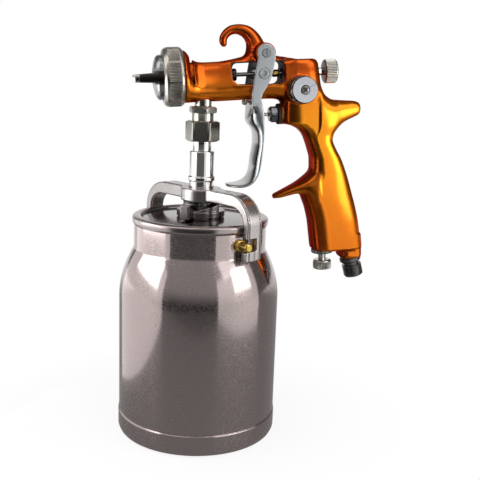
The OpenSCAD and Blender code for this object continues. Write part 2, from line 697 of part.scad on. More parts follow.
// ---- Fan valve on the near side ----
fan_face = -25.6;
module fan_knob() {
    color("gainsboro") on_gun() translate([fan_at[0], 0, fan_at[1]]) rotate([90, 0, 0]) difference() {
        union() {
            knurled(fan_knob_d / 2, 14.8, -fan_face - 1.6, 36, 0.55);
            turned([
                [0, -fan_face - 2.2], [fan_knob_d / 2 - 0.3, -fan_face - 2.2],
                [fan_knob_d / 2 - 0.3, -fan_face - 0.6], [fan_knob_d / 2 - 0.9, -fan_face], [0, -fan_face]
            ]);
        }
        translate([0, 0, -fan_face - 1.4]) cylinder(r = 2.8, h = 3);
        cylinder(r = 1.5, h = 30);
        translate([4.5, -0.2, -fan_face - 0.3]) cube([3, 0.4, 1]);
    }
}
module fan_knob_screw() {
    color("silver") on_gun() translate([fan_at[0], 0, fan_at[1]]) rotate([90, 0, 0]) difference() {
        turned([
            [0, 9], [1.45, 9], [1.45, -fan_face - 1.4], [2.75, -fan_face - 1.4],
            [2.75, -fan_face - 0.3], [0, -fan_face + 0.1]
        ]);
        for (a = [45, 135]) rotate([0, 0, a]) translate([-1.7, -0.35, -fan_face - 0.9])
            cube([3.4, 0.7, 2]);
    }
}
module fan_valve_stem() {
    color("silver") on_gun() translate([fan_at[0], 0, fan_at[1]]) rotate([90, 0, 0]) difference() {
        turned([[0, 2], [0.6, 2], [2.2, 6], [2.2, 14.8], [0, 14.8]]);
        translate([0, 0, 9]) cylinder(r = 1.45, h = 20);
    }
}
module fan_valve_sleeve() {
    color("gray") on_gun() translate([fan_at[0], 0, fan_at[1]]) rotate([90, 0, 0]) turned([
        [2.2 + run, 6], [4.4, 6], [4.4, 13.6], [6.6, 13.6], [6.6, 14.4], [2.2 + run, 14.4]
    ]);
}

// ---- Air flow valve and air inlet under the grip ----
module flow_gland() {
    color("dimgray") on_gun() on_flow() difference() {
        turned([
            [2.5 + run, 8.7], [5, 8.7], [5, 0], [7.3, 0], [7.3, -2], [6.7, -2.7], [2.5 + run, -2.7]
        ]);
        for (i = [0 : 5]) rotate([0, 0, i * 60]) translate([7.6, 0, -3.9])
            cylinder(r = 0.7, h = 3.9, $fn = 24);
    }
}
module flow_valve_stem() {
    color("silver") on_gun() on_flow() turned([
        [0, 17], [1, 17], [2.5, 14.4], [2.5, -8], [0, -8]
    ]);
}
module flow_knob() {
    color("gainsboro") on_gun() on_flow() difference() {
        knurled(flow_knob_d / 2 + 0.1, -13.8, -7.3, 24, 0.5);
        translate([0, 0, -8]) cylinder(r = 2.5, h = 3);
    }
}
// Nipple with a hexagonal collar, a neck and a quarter-inch thread
module air_inlet() {
    color("gray") on_gun() on_inlet() difference() {
        union() {
            along(-7.5, 0.3, 6.25);
            turned_along([[0, 0.3], [7.1, 0.3], [7.1, 2.6], [6.2, 3.4], [5, 3.6], [0, 3.6]]);
            along(3.5, 5.6, 5);
            along(5.4, 12.6, inlet_r);
            turned_along([[0, 12.5], [inlet_r, 12.6], [inlet_r - 0.8, 13.4], [0, 13.4]]);
        }
        along(-9, 15, 3.8);
    }
}
module inlet_seal() {
    color("black") on_gun() on_inlet() turned_along([
        [3.9, -8.9], [6.2, -8.9], [6.2, -7.6], [3.9, -7.6]
    ]);
}

cup_body();
cup_pins();
lid();
lid_gasket();
cam_lever();
yoke();
material_stem();
stem_locknut();
pickup_tube();
stem_seal();
swivel_nut();
fluid_nipple();
gun_body();
fluid_nozzle();
nozzle_gasket();
baffle();
air_cap();
retaining_collar();
needle();
needle_collar();
needle_packing();
packing_nut();
needle_spring();
needle_knob();
trigger();
trigger_bush();
trigger_pivot();
pivot_nut();
passage_plug();
air_valve_body();
air_valve_stem();
air_valve_poppet();
air_valve_spring();
fan_knob();
fan_knob_screw();
fan_valve_stem();
fan_valve_sleeve();
flow_gland();
flow_valve_stem();
flow_knob();
air_inlet();
inlet_seal();
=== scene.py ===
import bmesh
import bpy
import numpy as np
from math import cos, pi, radians, sin
from mathutils import Matrix, Vector


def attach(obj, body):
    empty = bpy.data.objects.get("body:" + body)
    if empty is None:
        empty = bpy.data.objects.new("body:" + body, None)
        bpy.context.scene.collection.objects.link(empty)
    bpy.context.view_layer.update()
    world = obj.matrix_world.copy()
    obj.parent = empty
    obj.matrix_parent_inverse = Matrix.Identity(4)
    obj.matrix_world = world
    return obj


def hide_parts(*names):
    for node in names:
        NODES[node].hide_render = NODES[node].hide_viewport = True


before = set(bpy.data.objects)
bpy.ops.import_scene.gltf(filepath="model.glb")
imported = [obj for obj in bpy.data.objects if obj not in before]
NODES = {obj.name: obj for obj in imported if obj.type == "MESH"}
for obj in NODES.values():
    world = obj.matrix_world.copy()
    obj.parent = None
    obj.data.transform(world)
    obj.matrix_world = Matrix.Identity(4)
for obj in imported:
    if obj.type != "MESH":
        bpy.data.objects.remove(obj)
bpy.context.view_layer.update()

# ------------------------------------------------------------------ places (mm, row frame)
T = lambda x, y, z: Matrix.Translation((x, y, z))
RX = lambda a: Matrix.Rotation(radians(a), 4, "X")
RY = lambda a: Matrix.Rotation(radians(a), 4, "Y")
RZ = lambda a: Matrix.Rotation(radians(a), 4, "Z")
UP = Matrix.Identity(4)
GUN = T(0, 0, 232) @ RY(-4)
ALONG = GUN @ RY(90)
FAN = GUN @ T(58.4, 0, -10.3) @ RX(90)
FLOW = GUN @ T(74.7, 0, -116.3)
INLET = GUN @ T(94.1, 0, -123.2) @ RY(168)
YOKE = RZ(-56.1)


# ------------------------------------------------------------------ materials
ROUGH_VARY = 0.12  # share by which the roughness drifts
BUMP_DEPTH = 0.0002  # metres
HEIGHT_SHADE_LOW, HEIGHT_SHADE_HIGH = 0.1, 0.26  # heights in metres between which the casting's painted light-and-shade colours by height are placed


def material(name, color, metallic=1.0, rough=0.3, stretch=(1, 1, 1), fine=900.0, bump=0.06, vary=0.12,
             cloud=40.0, coat=0.0, aniso=0.0, streak=None, painted_shade=None):
    """Finish with fine grain and broad clouds; painted_shade = (painted shade colour mixed onto
    forward-facing faces, colours by height in metres that paint light and shade).
    """
    m = bpy.data.materials.new(name)
    m.use_nodes = True
    n, link = m.node_tree.nodes, m.node_tree.links
    s = n["Principled BSDF"]
    s.inputs["Metallic"].default_value = metallic
    s.inputs["Coat Weight"].default_value = coat
    s.inputs["Coat Roughness"].default_value = 0.08
    s.inputs["Anisotropic"].default_value = aniso
    s.inputs["Anisotropic Rotation"].default_value = 0.25
    co = n.new("ShaderNodeTexCoord")
    mp = n.new("ShaderNodeMapping")
    mp.inputs["Scale"].default_value = stretch
    link.new(co.outputs["Object"], mp.inputs["Vector"])
    grain = n.new("ShaderNodeTexNoise")
    grain.inputs["Scale"].default_value = fine
    grain.inputs["Detail"].default_value = 4
    link.new(mp.outputs["Vector"], grain.inputs["Vector"])
    large = n.new("ShaderNodeTexNoise")
    large.inputs["Scale"].default_value = cloud
    large.inputs["Detail"].default_value = 3
    link.new(co.outputs["Object"], large.inputs["Vector"])
    mixed = n.new("ShaderNodeMath")
    mixed.operation = "MULTIPLY_ADD"
    mixed.inputs[1].default_value = 0.6
    link.new(grain.outputs["Fac"], mixed.inputs[0])
    half = n.new("ShaderNodeMath")
    half.operation = "MULTIPLY"
    half.inputs[1].default_value = 0.4
    link.new(large.outputs["Fac"], half.inputs[0])
    link.new(half.outputs[0], mixed.inputs[2])
    ramp = n.new("ShaderNodeValToRGB")
    low = tuple(c * (1 - vary) for c in color)
    high = tuple(min(1, c * (1 + vary)) for c in color)
    ramp.color_ramp.elements[0].position, ramp.color_ramp.elements[0].color = 0.3, (*low, 1)
    ramp.color_ramp.elements[1].position, ramp.color_ramp.elements[1].color = 0.7, (*high, 1)
    link.new(mixed.outputs[0], ramp.inputs["Fac"])
    if painted_shade:
        s.inputs["Specular Tint"].default_value = (0.35, 0.12, 0.05, 1)
        # Painted light and shade: the base colour is multiplied by colours set by height, redder and darker
        # at the barrel and golder on the grip.
        lift, place, base = (n.new("ShaderNode" + k) for k in ("MapRange", "SeparateXYZ", "Mix"))
        lift.inputs["From Min"].default_value, lift.inputs["From Max"].default_value = HEIGHT_SHADE_LOW, HEIGHT_SHADE_HIGH
        link.new(co.outputs["Object"], place.inputs[0])
        link.new(place.outputs["Z"], lift.inputs["Value"])
        height_shade = n.new("ShaderNodeValToRGB")
        ends = height_shade.color_ramp.elements
        for k, (z, shade) in enumerate(painted_shade[1]):  # lowest and highest first, as the ramp sorts its stops
            stop = ends[k] if k < 2 else ends.new((z - HEIGHT_SHADE_LOW) / (HEIGHT_SHADE_HIGH - HEIGHT_SHADE_LOW))
            if k < 2:
                stop.position = (z - HEIGHT_SHADE_LOW) / (HEIGHT_SHADE_HIGH - HEIGHT_SHADE_LOW)
            stop.color = (*shade, 1)
        link.new(lift.outputs["Result"], height_shade.inputs["Fac"])
        base.data_type, base.blend_type = "RGBA", "MULTIPLY"
        base.inputs["Factor"].default_value = 1
        link.new(height_shade.outputs["Color"], base.inputs["A"])
        link.new(ramp.outputs["Color"], base.inputs["B"])
        # Painted shade: faces whose normal points towards -X get up to 0.8 of a dark red-brown mixed into the
        # base colour.
        front, turned_away, deep = (n.new("ShaderNode" + k) for k in ("SeparateXYZ", "MapRange", "Mix"))
        link.new(co.outputs["Normal"], front.inputs[0])
        link.new(front.outputs["X"], turned_away.inputs["Value"])
        turned_away.inputs["From Min"].default_value = -0.15
        turned_away.inputs["From Max"].default_value = -0.55
        turned_away.inputs["To Max"].default_value = 0.8
        deep.data_type = "RGBA"
        link.new(turned_away.outputs["Result"], deep.inputs["Factor"])
        link.new(base.outputs["Result"], deep.inputs["A"])
        deep.inputs["B"].default_value = (*painted_shade[0], 1)
        link.new(deep.outputs["Result"], s.inputs["Base Color"])
    else:
        link.new(ramp.outputs["Color"], s.inputs["Base Color"])
    rr = n.new("ShaderNodeMapRange")
    rr.inputs["From Min"].default_value = 0.49 if streak else 0.3
    rr.inputs["From Max"].default_value = 0.62 if streak else 0.7
    rr.inputs["To Min"].default_value = streak[0] if streak else max(0.02, rough * (1 - ROUGH_VARY))
    rr.inputs["To Max"].default_value = streak[1] if streak else rough * (1 + ROUGH_VARY)
    link.new((grain if streak else large).outputs["Fac"], rr.inputs["Value"])
    link.new(rr.outputs["Result"], s.inputs["Roughness"])
    if bump:
        b = n.new("ShaderNodeBump")
        b.inputs["Strength"].default_value = bump
        b.inputs["Distance"].default_value = BUMP_DEPTH
        link.new(grain.outputs["Fac"], b.inputs["Height"])
        link.new(b.outputs["Normal"], s.inputs["Normal"])
    return m


# The orange casting's base colour carries painted shade: dark red-brown on forward-facing faces, and colours
# by height that paint light and shade.
ORANGE = material("orange_anodised", (0.95, 0.95, 0.95), 1.0, 0.24, fine=1400, bump=0.004, vary=0.05,
                  coat=0.06,
                  painted_shade=((0.30, 0.03, 0.004), ((0.11, (0.80, 0.185, 0.014)), (0.236, (0.70, 0.115, 0.012)),
                                                    (0.165, (0.88, 0.25, 0.015)),
                                                    (0.195, (0.95, 0.335, 0.016)),
                                                    (0.212, (0.90, 0.29, 0.016)))))
# Painted shade: a near-black non-metal colour in place of the casting's orange metal, for the window's walls
# and a bore mouth.
WINDOW_SHADE = material("window_walls_painted_shade", (0.03, 0.012, 0.007), 0.0, 0.75, fine=900, bump=0.05, vary=0.2)
HEADS = material("pin_heads", (0.42, 0.44, 0.455), 1.0, 0.3, fine=1500, bump=0.02, vary=0.08)
VALVE = material("black_nickel", (0.15, 0.155, 0.16), 1.0, 0.14, fine=900, bump=0.03, vary=0.12)
CUP = material("brushed_cup", (0.42, 0.352, 0.343), 1.0, 0.30, stretch=(0.08, 0.08, 1), fine=9000, bump=0.02,
               vary=0.05, cloud=14, aniso=0.9, streak=(0.08, 0.36))
# Painted shade: the lid top's base colour is darker than the rim's and the cup's, painting a dark reflection
# onto the same metal.
LID_SHADED = material("polished_lid_painted_shade", (0.19, 0.17, 0.165), 1.0, 0.14, stretch=(0.3, 0.3, 1), fine=700, bump=0.02,
               vary=0.1)
RIM = material("rolled_rim", (0.36, 0.31, 0.302), 1.0, 0.22, fine=900, bump=0.03, vary=0.06)
CAST = material("cast_alloy", (0.46, 0.43, 0.42), 1.0, 0.28, fine=800, bump=0.09, vary=0.1)
CAM = material("cam_alloy", (0.20, 0.185, 0.18), 1.0, 0.24, fine=800, bump=0.06, vary=0.12)
CHROME = material("bright_plate", (0.72, 0.71, 0.69), 1.0, 0.12, fine=1500, bump=0.012, vary=0.05)
KNOB = material("knob_plate", (0.58, 0.56, 0.51), 1.0, 0.2, fine=1200, bump=0.03, vary=0.08)
DIAL = material("dial_face", (0.52, 0.54, 0.575), 1.0, 0.22, fine=1800, bump=0.03, vary=0.05)
PLATE = material("brushed_plate", (0.52, 0.55, 0.57), 1.0, 0.36, stretch=(1, 1, 0.03), fine=2600, bump=0.05,
                 vary=0.06)
POLISH = material("polished_sheet", (0.38, 0.36, 0.345), 1.0, 0.18, fine=1500, bump=0.012, vary=0.08)
NUT = material("nut_plate", (0.46, 0.445, 0.40), 1.0, 0.2, fine=900, bump=0.03, vary=0.12)
COLLAR = material("collar_plate", (0.46, 0.425, 0.375), 1.0, 0.26, fine=900, bump=0.04, vary=0.12)
# Painted shade: knurl valleys are coloured darker than the teeth.
GROOVE_SHADE = material("knurl_grooves_painted_shade", (0.27, 0.25, 0.22), 1.0, 0.34, fine=900, bump=0.05, vary=0.15)
CAPMAT = material("cap_plate", (0.36, 0.36, 0.36), 1.0, 0.22, fine=900, bump=0.04, vary=0.12)
# Dark plate, also used as painted shade and painted reflection on lines, faces and recesses of several
# pieces.
DARK_PLATE_AND_SHADE = material("dark_plate", (0.055, 0.048, 0.044), 1.0, 0.25, fine=900, bump=0.05, vary=0.2)
GREY = material("gland_plate", (0.22, 0.21, 0.2), 1.0, 0.3, fine=900, bump=0.05, vary=0.15)
BLACK = material("inlet_plate", (0.13, 0.125, 0.12), 1.0, 0.24, fine=900, bump=0.05, vary=0.15)
STEEL = material("turned_steel", (0.50, 0.49, 0.47), 1.0, 0.2, fine=1500, bump=0.03, vary=0.08)
BRASS = material("brass", (0.62, 0.42, 0.10), 1.0, 0.22, fine=900, bump=0.05, vary=0.15)
SEAL = material("white_seal", (0.75, 0.74, 0.70), 0.0, 0.5, fine=400, bump=0.05, vary=0.05)
RUBBER = material("black_rubber", (0.02, 0.02, 0.02), 0.0, 0.6, fine=500, bump=0.1, vary=0.2)


# ------------------------------------------------------------------ mesh tools
SHARP = 38  # degrees between faces from which an edge is shaded sharp
CHAMFER = 0.55  # rise over run of a nut's turned-off corners


def piece(name, V, F, M, mats, body, nodes=(), pick=None):
    """Mesh from points in mm in frame M, riding on a body and standing for CAD nodes."""
    V = np.asarray(V, float)
    m = np.array(M)
    V = (V @ m[:3, :3].T + m[:3, 3]) * 0.001
    me = bpy.data.meshes.new(name)
    me.from_pydata(V.tolist(), [], [list(map(int, f)) for f in F])
    bm = bmesh.new()
    bm.from_mesh(me)
    bmesh.ops.remove_doubles(bm, verts=bm.verts, dist=2e-6)
    bmesh.ops.dissolve_degenerate(bm, edges=bm.edges, dist=1e-6)
    bmesh.ops.recalc_face_normals(bm, faces=bm.faces)
    for f in bm.faces:
        f.smooth = True
    bm.to_mesh(me)
    bm.free()
    me.set_sharp_from_angle(angle=radians(SHARP))
    for k in mats if isinstance(mats, (list, tuple)) else [mats]:
        me.materials.append(k)
    if pick:
        for p in me.polygons:
            p.material_index = pick(p.center * 1000)
    ob = bpy.data.objects.new(name, me)
    bpy.context.scene.collection.objects.link(ob)
    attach(ob, body)
    if nodes:
        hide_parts(*nodes)
    return ob


def fillet(out, r, steps=3):
    """The closed outline with each corner rounded by up to r."""
    P, res = [np.array(p, float) for p in out], []
    n = len(P)
    for i, p in enumerate(P):
        a, b = P[i - 1] - p, P[(i + 1) % n] - p
        la, lb = np.linalg.norm(a), np.linalg.norm(b)
        turn = 1 if la < 1e-9 or lb < 1e-9 else float(a @ b / la / lb)
        if p[0] < 1e-6 or turn < -0.97 or la < 1e-9 or lb < 1e-9:
            res.append(p)
            continue
        d = min(r, 0.4 * la, 0.4 * lb)
        u, v = p + a / la * d, p + b / lb * d
        for t in np.linspace(0, 1, steps + 1):
            res.append((1 - t) ** 2 * u + 2 * t * (1 - t) * p + t * t * v)
    return np.array(res)


def lathe(out, n=128, soft=0.25, rad=None):
    """Turned solid from a closed outline of [radius, z], with an optional change of radius."""
    o = fillet(out, soft) if soft else np.array(out, float)
    th = np.arange(n) * 2 * pi / n
    R, Z = (np.repeat(o[:, i][:, None], n, 1) for i in (0, 1))
    if rad:
        R = rad(R, Z, th[None, :] + 0 * R)
    V = np.stack([R * np.cos(th), R * np.sin(th), Z], -1).reshape(-1, 3)
    m = len(o)
    i, j = np.meshgrid(np.arange(m), np.arange(n), indexing="ij")
    a, b = i * n + j, i * n + (j + 1) % n
    c, d = ((i + 1) % m) * n + (j + 1) % n, ((i + 1) % m) * n + j
    F = np.stack([a, b, c, d], -1).reshape(-1, 4)
    return V, F


def knurl(low, high, radius, teeth, depth, lands=0, land=0.0):
    """Straight teeth on the rim between two heights, broken by plain lands."""
    def rad(R, Z, A):
        on = (Z > low) & (Z < high) & (R > radius - 0.6)
        w = np.clip(0.5 + 0.5 * np.cos(A * teeth), 0, 1)
        cut = depth * (1 - w)
        if lands:
            f = (A * lands / (2 * pi)) % 1
            cut = np.where((f < land) | (f > 1 - land), 0, cut)
        return np.where(on, R - cut, R)
    return rad


def hexagon(af, z0, z1, turn=0.0, n=180, bore=None):
    """Hexagonal nut with turned-off corners; its outline's rings follow the chamfer's cone."""
    end = af / 2 * 0.97
    hs = [0, 0.12, 0.3, 0.6, 1.0]
    top = (af / 2 / cos(pi / 6) - end) * CHAMFER
    zs = [z0 + h * top for h in hs] + [z1 - h * top for h in reversed(hs)]
    out = [[bore or 0.0, z0]] + [[af, z] for z in zs] + [[bore or 0.0, z1]]

    def rad(R, Z, A):
        a = (A - radians(turn) + pi / 6) % (pi / 3) - pi / 6
        flat = af / 2 / np.cos(a)
        cone = end + np.minimum(Z - z0, z1 - Z) / CHAMFER
        return np.where(R > af - 0.01, np.minimum(flat, cone), R)
    return lathe(out, n, 0, rad)


# ------------------------------------------------------------------ distance fields
def smin(a, b, k):
    h = np.maximum(k - np.abs(a - b), 0) / k
    return np.minimum(a, b) - h * h * k * 0.25


def smax(a, b, k):
    return -smin(-a, -b, k)


def step(t):
    t = np.clip(t, 0, 1)
    return t * t * (3 - 2 * t)


def curve(table, c, x):
    """Smooth monotone curve through the table's column c."""
    t = np.array(sorted(table), float)
    xs, ys = t[:, 0], t[:, c]
    h, d = np.diff(xs), np.diff(ys) / np.diff(xs)
    m = np.concatenate([[d[0]], np.where(d[1:] * d[:-1] > 0, 2 * d[1:] * d[:-1] / (d[1:] + d[:-1] + 1e-12),
                                         0), [d[-1]]])
    x = np.clip(x, xs[0], xs[-1])
    i = np.clip(np.searchsorted(xs, x) - 1, 0, len(h) - 1)
    u = (x - xs[i]) / h[i]
    return ((1 + 2 * u) * (1 - u) ** 2 * ys[i] + u * (1 - u) ** 2 * h[i] * m[i]
            + u * u * (3 - 2 * u) * ys[i + 1] + u * u * (u - 1) * h[i] * m[i + 1])


def section(p, q, half_p, half_q, power):
    rho = ((np.abs(p) / half_p) ** power + (np.abs(q) / half_q) ** power) ** (1 / power)
    return np.hypot(p, q) * (1 - 1 / np.maximum(rho, 1e-3))


def loft_x(x, y, z, table, power, upper=3, lower=3):
    bot, top = curve(table, 1, x), curve(table, 2, x)
    up, lo = curve(table, upper, x), curve(table, lower, x)
    h = (top - bot) / 2
    q = z - (top + bot) / 2
    d = section(y, q, lo + (up - lo) * step(q / h + 0.5), h, power)
    xs = [r[0] for r in table]
    return smax(d, np.maximum(min(xs) - x, x - max(xs)), 0.5)


def loft_z(x, y, z, table, power):
    a, b, h = (curve(table, c, z) for c in (1, 2, 3))
    zs = [r[0] for r in table]
    d = section(x - (a + b) / 2, y, (b - a) / 2, h, power)
    return smax(d, np.maximum(min(zs) - z, z - max(zs)), 0.5)


def tube(a, b, c, r, low, high):
    """Cylinder of radius r round the axis a = b = 0, from low to high along c."""
    return np.maximum(np.hypot(a, b) - r, np.maximum(low - c, c - high))


def polygon(x, z, pts):
    """Signed distance to a closed polygon in a plane."""
    best, inside = np.full(np.shape(x), 1e9), np.zeros(np.shape(x), bool)
    for i in range(len(pts)):
        (x0, z0), (x1, z1) = pts[i - 1], pts[i]
        dx, dz = x1 - x0, z1 - z0
        t = np.clip(((x - x0) * dx + (z - z0) * dz) / (dx * dx + dz * dz), 0, 1)
        best = np.minimum(best, (x - x0 - t * dx) ** 2 + (z - z0 - t * dz) ** 2)
        if z0 != z1:
            inside ^= ((z0 > z) != (z1 > z)) & (x < x0 + (z - z0) * dx / dz)
    return np.where(inside, -1, 1) * np.sqrt(best)


def smooth_line(pts, n=6):
    """Catmull-Rom curve through the points."""
    P = np.array(pts, float)
    P = np.vstack([2 * P[0] - P[1], P, 2 * P[-1] - P[-2]])
    out = []
    for i in range(1, len(P) - 2):
        for t in np.linspace(0, 1, n, endpoint=False):
            a, b, c, d = P[i - 1 : i + 3]
            out.append(0.5 * (2 * b + (c - a) * t + (2 * a - 5 * b + 4 * c - d) * t * t
                              + (3 * b - a - 3 * c + d) * t ** 3))
    out.append(P[-2])
    return np.array(out)


def nets(f, lo, hi, h, polish=3):
    """Surface of f = 0 as quads on a grid of step h, moved on to the surface."""
    ax = [np.arange(a - 2 * h, b + 3 * h, h) for a, b in zip(lo, hi)]
    G = np.stack(np.meshgrid(*ax, indexing="ij"), 0)
    D = f(*G)
    s = D < 0
    cnt = sum(s[i : s.shape[0] - 1 + i, j : s.shape[1] - 1 + j, k : s.shape[2] - 1 + k].astype(np.int8)
              for i in (0, 1) for j in (0, 1) for k in (0, 1))
    act = (cnt > 0) & (cnt < 8)
    idx = np.full(act.shape, -1)
    cells = np.argwhere(act)
    idx[act] = np.arange(len(cells))
    P, N = np.zeros((len(cells), 3)), np.zeros(len(cells))
    F = []
    for k in range(3):
        o = [a for a in range(3) if a != k]
        for i in (0, 1):
            for j in (0, 1):
                a = cells.copy()
                a[:, o[0]] += i
                a[:, o[1]] += j
                b = a.copy()
                b[:, k] += 1
                fa, fb = D[tuple(a.T)], D[tuple(b.T)]
                m = (fa < 0) != (fb < 0)
                p = a.astype(float)
                p[:, k] += np.where(m, fa / np.where(m, fa - fb, 1), 0)
                P[m] += p[m]
                N[m] += 1
        sl, sh = [slice(1, -1)] * 3, [slice(1, -1)] * 3
        sl[k], sh[k] = slice(0, -1), slice(1, None)
        A, B = s[tuple(sl)], s[tuple(sh)]
        e = np.argwhere(A != B)
        first = A[tuple(e.T)]
        e[:, o[0]] += 1
        e[:, o[1]] += 1
        quad = []
        for i, j in ((-1, -1), (0, -1), (0, 0), (-1, 0)):
            c = e.copy()
            c[:, o[0]] += i
            c[:, o[1]] += j
            quad.append(idx[tuple(c.T)])
        quad = np.stack(quad, -1)
        flip = first == (k == 1)
        quad[flip] = quad[flip][:, ::-1]
        F.append(quad)
    V = P / N[:, None] * h + np.array([a[0] for a in ax])
    for _ in range(polish):
        d = f(*V.T)
        g = np.stack([(f(*(V + e).T) - f(*(V - e).T)) / 0.1 for e in np.eye(3) * 0.05], -1)
        V = V - np.clip(d / np.maximum((g * g).sum(-1), 0.2), -0.5 * h, 0.5 * h)[:, None] * g
    return V, np.concatenate(F)


def net_piece(name, f, lo, hi, h, M, mats, body, nodes, pick=None):
    """Piece whose surface is f = 0, with its shading taken from the field itself."""
    V, F = nets(f, lo, hi, h)
    e = 0.12
    N = np.stack([f(*(V + d).T) - f(*(V - d).T) for d in np.eye(3) * e], -1)
    N /= np.maximum(np.linalg.norm(N, axis=1), 1e-9)[:, None]
    m = np.array(M)
    me = bpy.data.meshes.new(name)
    me.from_pydata(((V @ m[:3, :3].T + m[:3, 3]) * 0.001).tolist(), [], F.tolist())
    me.polygons.foreach_set("use_smooth", [True] * len(F))
    me.normals_split_custom_set_from_vertices((N @ m[:3, :3].T).tolist())
    for k in mats if isinstance(mats, (list, tuple)) else [mats]:
        me.materials.append(k)
    if pick:
        me.polygons.foreach_set("material_index", np.int32(pick(*V[F].mean(1).T)))
    ob = bpy.data.objects.new(name, me)
    bpy.context.scene.collection.objects.link(ob)
    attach(ob, body)
    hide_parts(*nodes)
    return ob


def turned(name, outs, M, mat, body, nodes, pick=None, **kw):
    """Piece made of turned solids or of ready (V, F) pairs; pick(radius, z, angle) chooses materials."""
    back = M.inverted()

    def chosen(c):
        c = back @ c
        return int(pick(np.hypot(c.x, c.y), c.z, np.degrees(np.arctan2(c.y, c.x))))
    VV, FF, at = [], [], 0
    for o in outs:
        V, F = o if isinstance(o, tuple) else lathe(o, **kw)
        VV.append(V)
        FF.append(F + at)
        at += len(V)
    return piece(name, np.concatenate(VV), np.concatenate(FF), M, mat, body, nodes,
                 pick=chosen if pick else None)


# ------------------------------------------------------------------ casting (gun frame)
BARREL = [(-12.9, -16.2, 16.2, 16.2, 16.2), (-11.4, -16.15, 15.4, 15.2, 15.9),
          (-9.4, -16.05, 13.1, 12.8, 14.6), (-6.9, -16, 10.2, 9.8, 12.8), (-3.9, -16, 8.7, 7.9, 11.4),
          (0.1, -16, 8.3, 7, 10.6), (8, -16, 8.4, 6.8, 10.1), (16, -15.9, 9.3, 7.2, 10.2),
          (23.9, -15.8, 10.8, 8.4, 10.8), (31.8, -15.7, 12.2, 10, 11.6), (41.7, -15.8, 11.6, 11.8, 12.3),
          (48.6, -17, 10.4, 12.2, 12.5), (55.5, -20, 8.4, 11.8, 12.5)]
GRIP = [(8.3, 52, 69.7, 9.4), (7.5, 50.5, 71.3, 10.9), (5.2, 49.7, 72.6, 12.1), (0, 49.4, 73.3, 12.5),
        (-8, 49.1, 74.3, 12.5), (-13.9, 49, 75.8, 12.5), (-18.4, 48.8, 80.1, 12.5), (-24.9, 48.5, 85.5, 12.4),
        (-30.5, 48.4, 86.9, 12.2), (-31.6, 49.5, 86.9, 12.1), (-33.2, 54.6, 86.5, 12),
        (-35.8, 59.5, 84.8, 11.9), (-39.8, 62.9, 82.5, 11.7), (-43.7, 64.5, 81.8, 11.6),
        (-48.7, 66, 83.6, 11.6), (-55.6, 67.5, 87.1, 11.8), (-63.6, 67.3, 90.1, 12.1),
        (-71.5, 63.7, 92.5, 12.5), (-79.5, 61.1, 94.6, 12.8), (-87.4, 63.4, 96.6, 13),
        (-97.4, 65.4, 98.6, 13.2), (-107.3, 66.3, 99.8, 13.2), (-115, 67.1, 100.5, 13.2),
        (-116.3, 68.5, 99.5, 12)]
TAIL = [(73.1, -41.7, -9.9, 12.2), (77, -40.7, -15.4, 12), (81, -38.5, -17.6, 11.4),
        (85.9, -34.7, -18.3, 10.2), (91.7, -31.7, -18.9, 8.8), (96.6, -29.7, -19.3, 7.9),
        (99.4, -28.3, -20.2, 6.9), (100.4, -26.5, -21.8, 5.2)]
SPUR = [(41.6, -79.3, -78.1, 1.6), (42.3, -80.1, -77.2, 3), (45.5, -80, -75.8, 4.6),
        (51.4, -78.9, -73.2, 6.4), (57.3, -77.8, -70.5, 8.4), (61.3, -79, -68, 10),
        (65.2, -81.5, -65.1, 11.4), (70.1, -85.4, -61.6, 12)]
HOOK = [(13.8, 18.6, 1, 1.2), (13.3, 19.2, 2, 2.3), (13, 21, 2.4, 2.8), (13.5, 23, 2.5, 3.1),
        (15.1, 25.2, 2.6, 3.4), (18.1, 27.1, 2.8, 3.7), (21.6, 27.6, 3, 4.1), (25.4, 26.9, 3.55, 4.7),
        (29, 24.9, 4.2, 5.5), (31.9, 21.1, 4.9, 6.6), (33.3, 16.8, 5.8, 8), (33.7, 11, 7, 10)]
PAD = [(-107, 86, 100.4, 10.1), (-120.3, 85.6, 100.8, 10.5), (-122.2, 86, 100.4, 10.1), (-123, 87.4, 99, 8.7)]
WINDOW = [(17.1, 6.9), (50, 7.3), (49.2, -5.6), (45.6, -6.6), (20.2, -6), (17.4, -3.6)]
C4, S4 = cos(radians(4)), sin(radians(4))


def inset(pts, r):
    """The clockwise polygon moved inwards by r."""
    P, out = np.array(pts, float), []
    for i in range(len(P)):
        d0, d1 = P[i] - P[i - 1], P[(i + 1) % len(P)] - P[i]
        n0, n1 = (np.array([d[1], -d[0]]) / np.hypot(*d) for d in (d0, d1))
        out.append(P[i] + r * (n0 + n1) / (1 + n0 @ n1))
    return out


def hook_field(x, y, z):
    pts = smooth_line(HOOK, 3)
    best = np.full(np.shape(x), 1e9)
    for a, b in zip(pts[:-1], pts[1:]):
        v = b - a
        t = np.clip(((x - a[0]) * v[0] + (z - a[1]) * v[1]) / (v[0] ** 2 + v[1] ** 2), 0, 1)
        deep, wide = a[2] + t * v[2], a[3] + t * v[3]
        best = np.minimum(best, np.hypot(np.hypot(x - a[0] - t * v[0], z - a[1] - t * v[1]),
                                         y * deep / wide) - deep)
    return best


def near(f, lo, hi, x, y, z):
    """The field f worked out only inside a box; outside it, the distance is taken as large."""
    m = (x > lo[0]) & (x < hi[0]) & (y > lo[1]) & (y < hi[1]) & (z > lo[2]) & (z < hi[2])
    out = np.full(np.shape(x), 30.0)
    if m.any():
        out[m] = f(x[m], y[m], z[m])
    return out


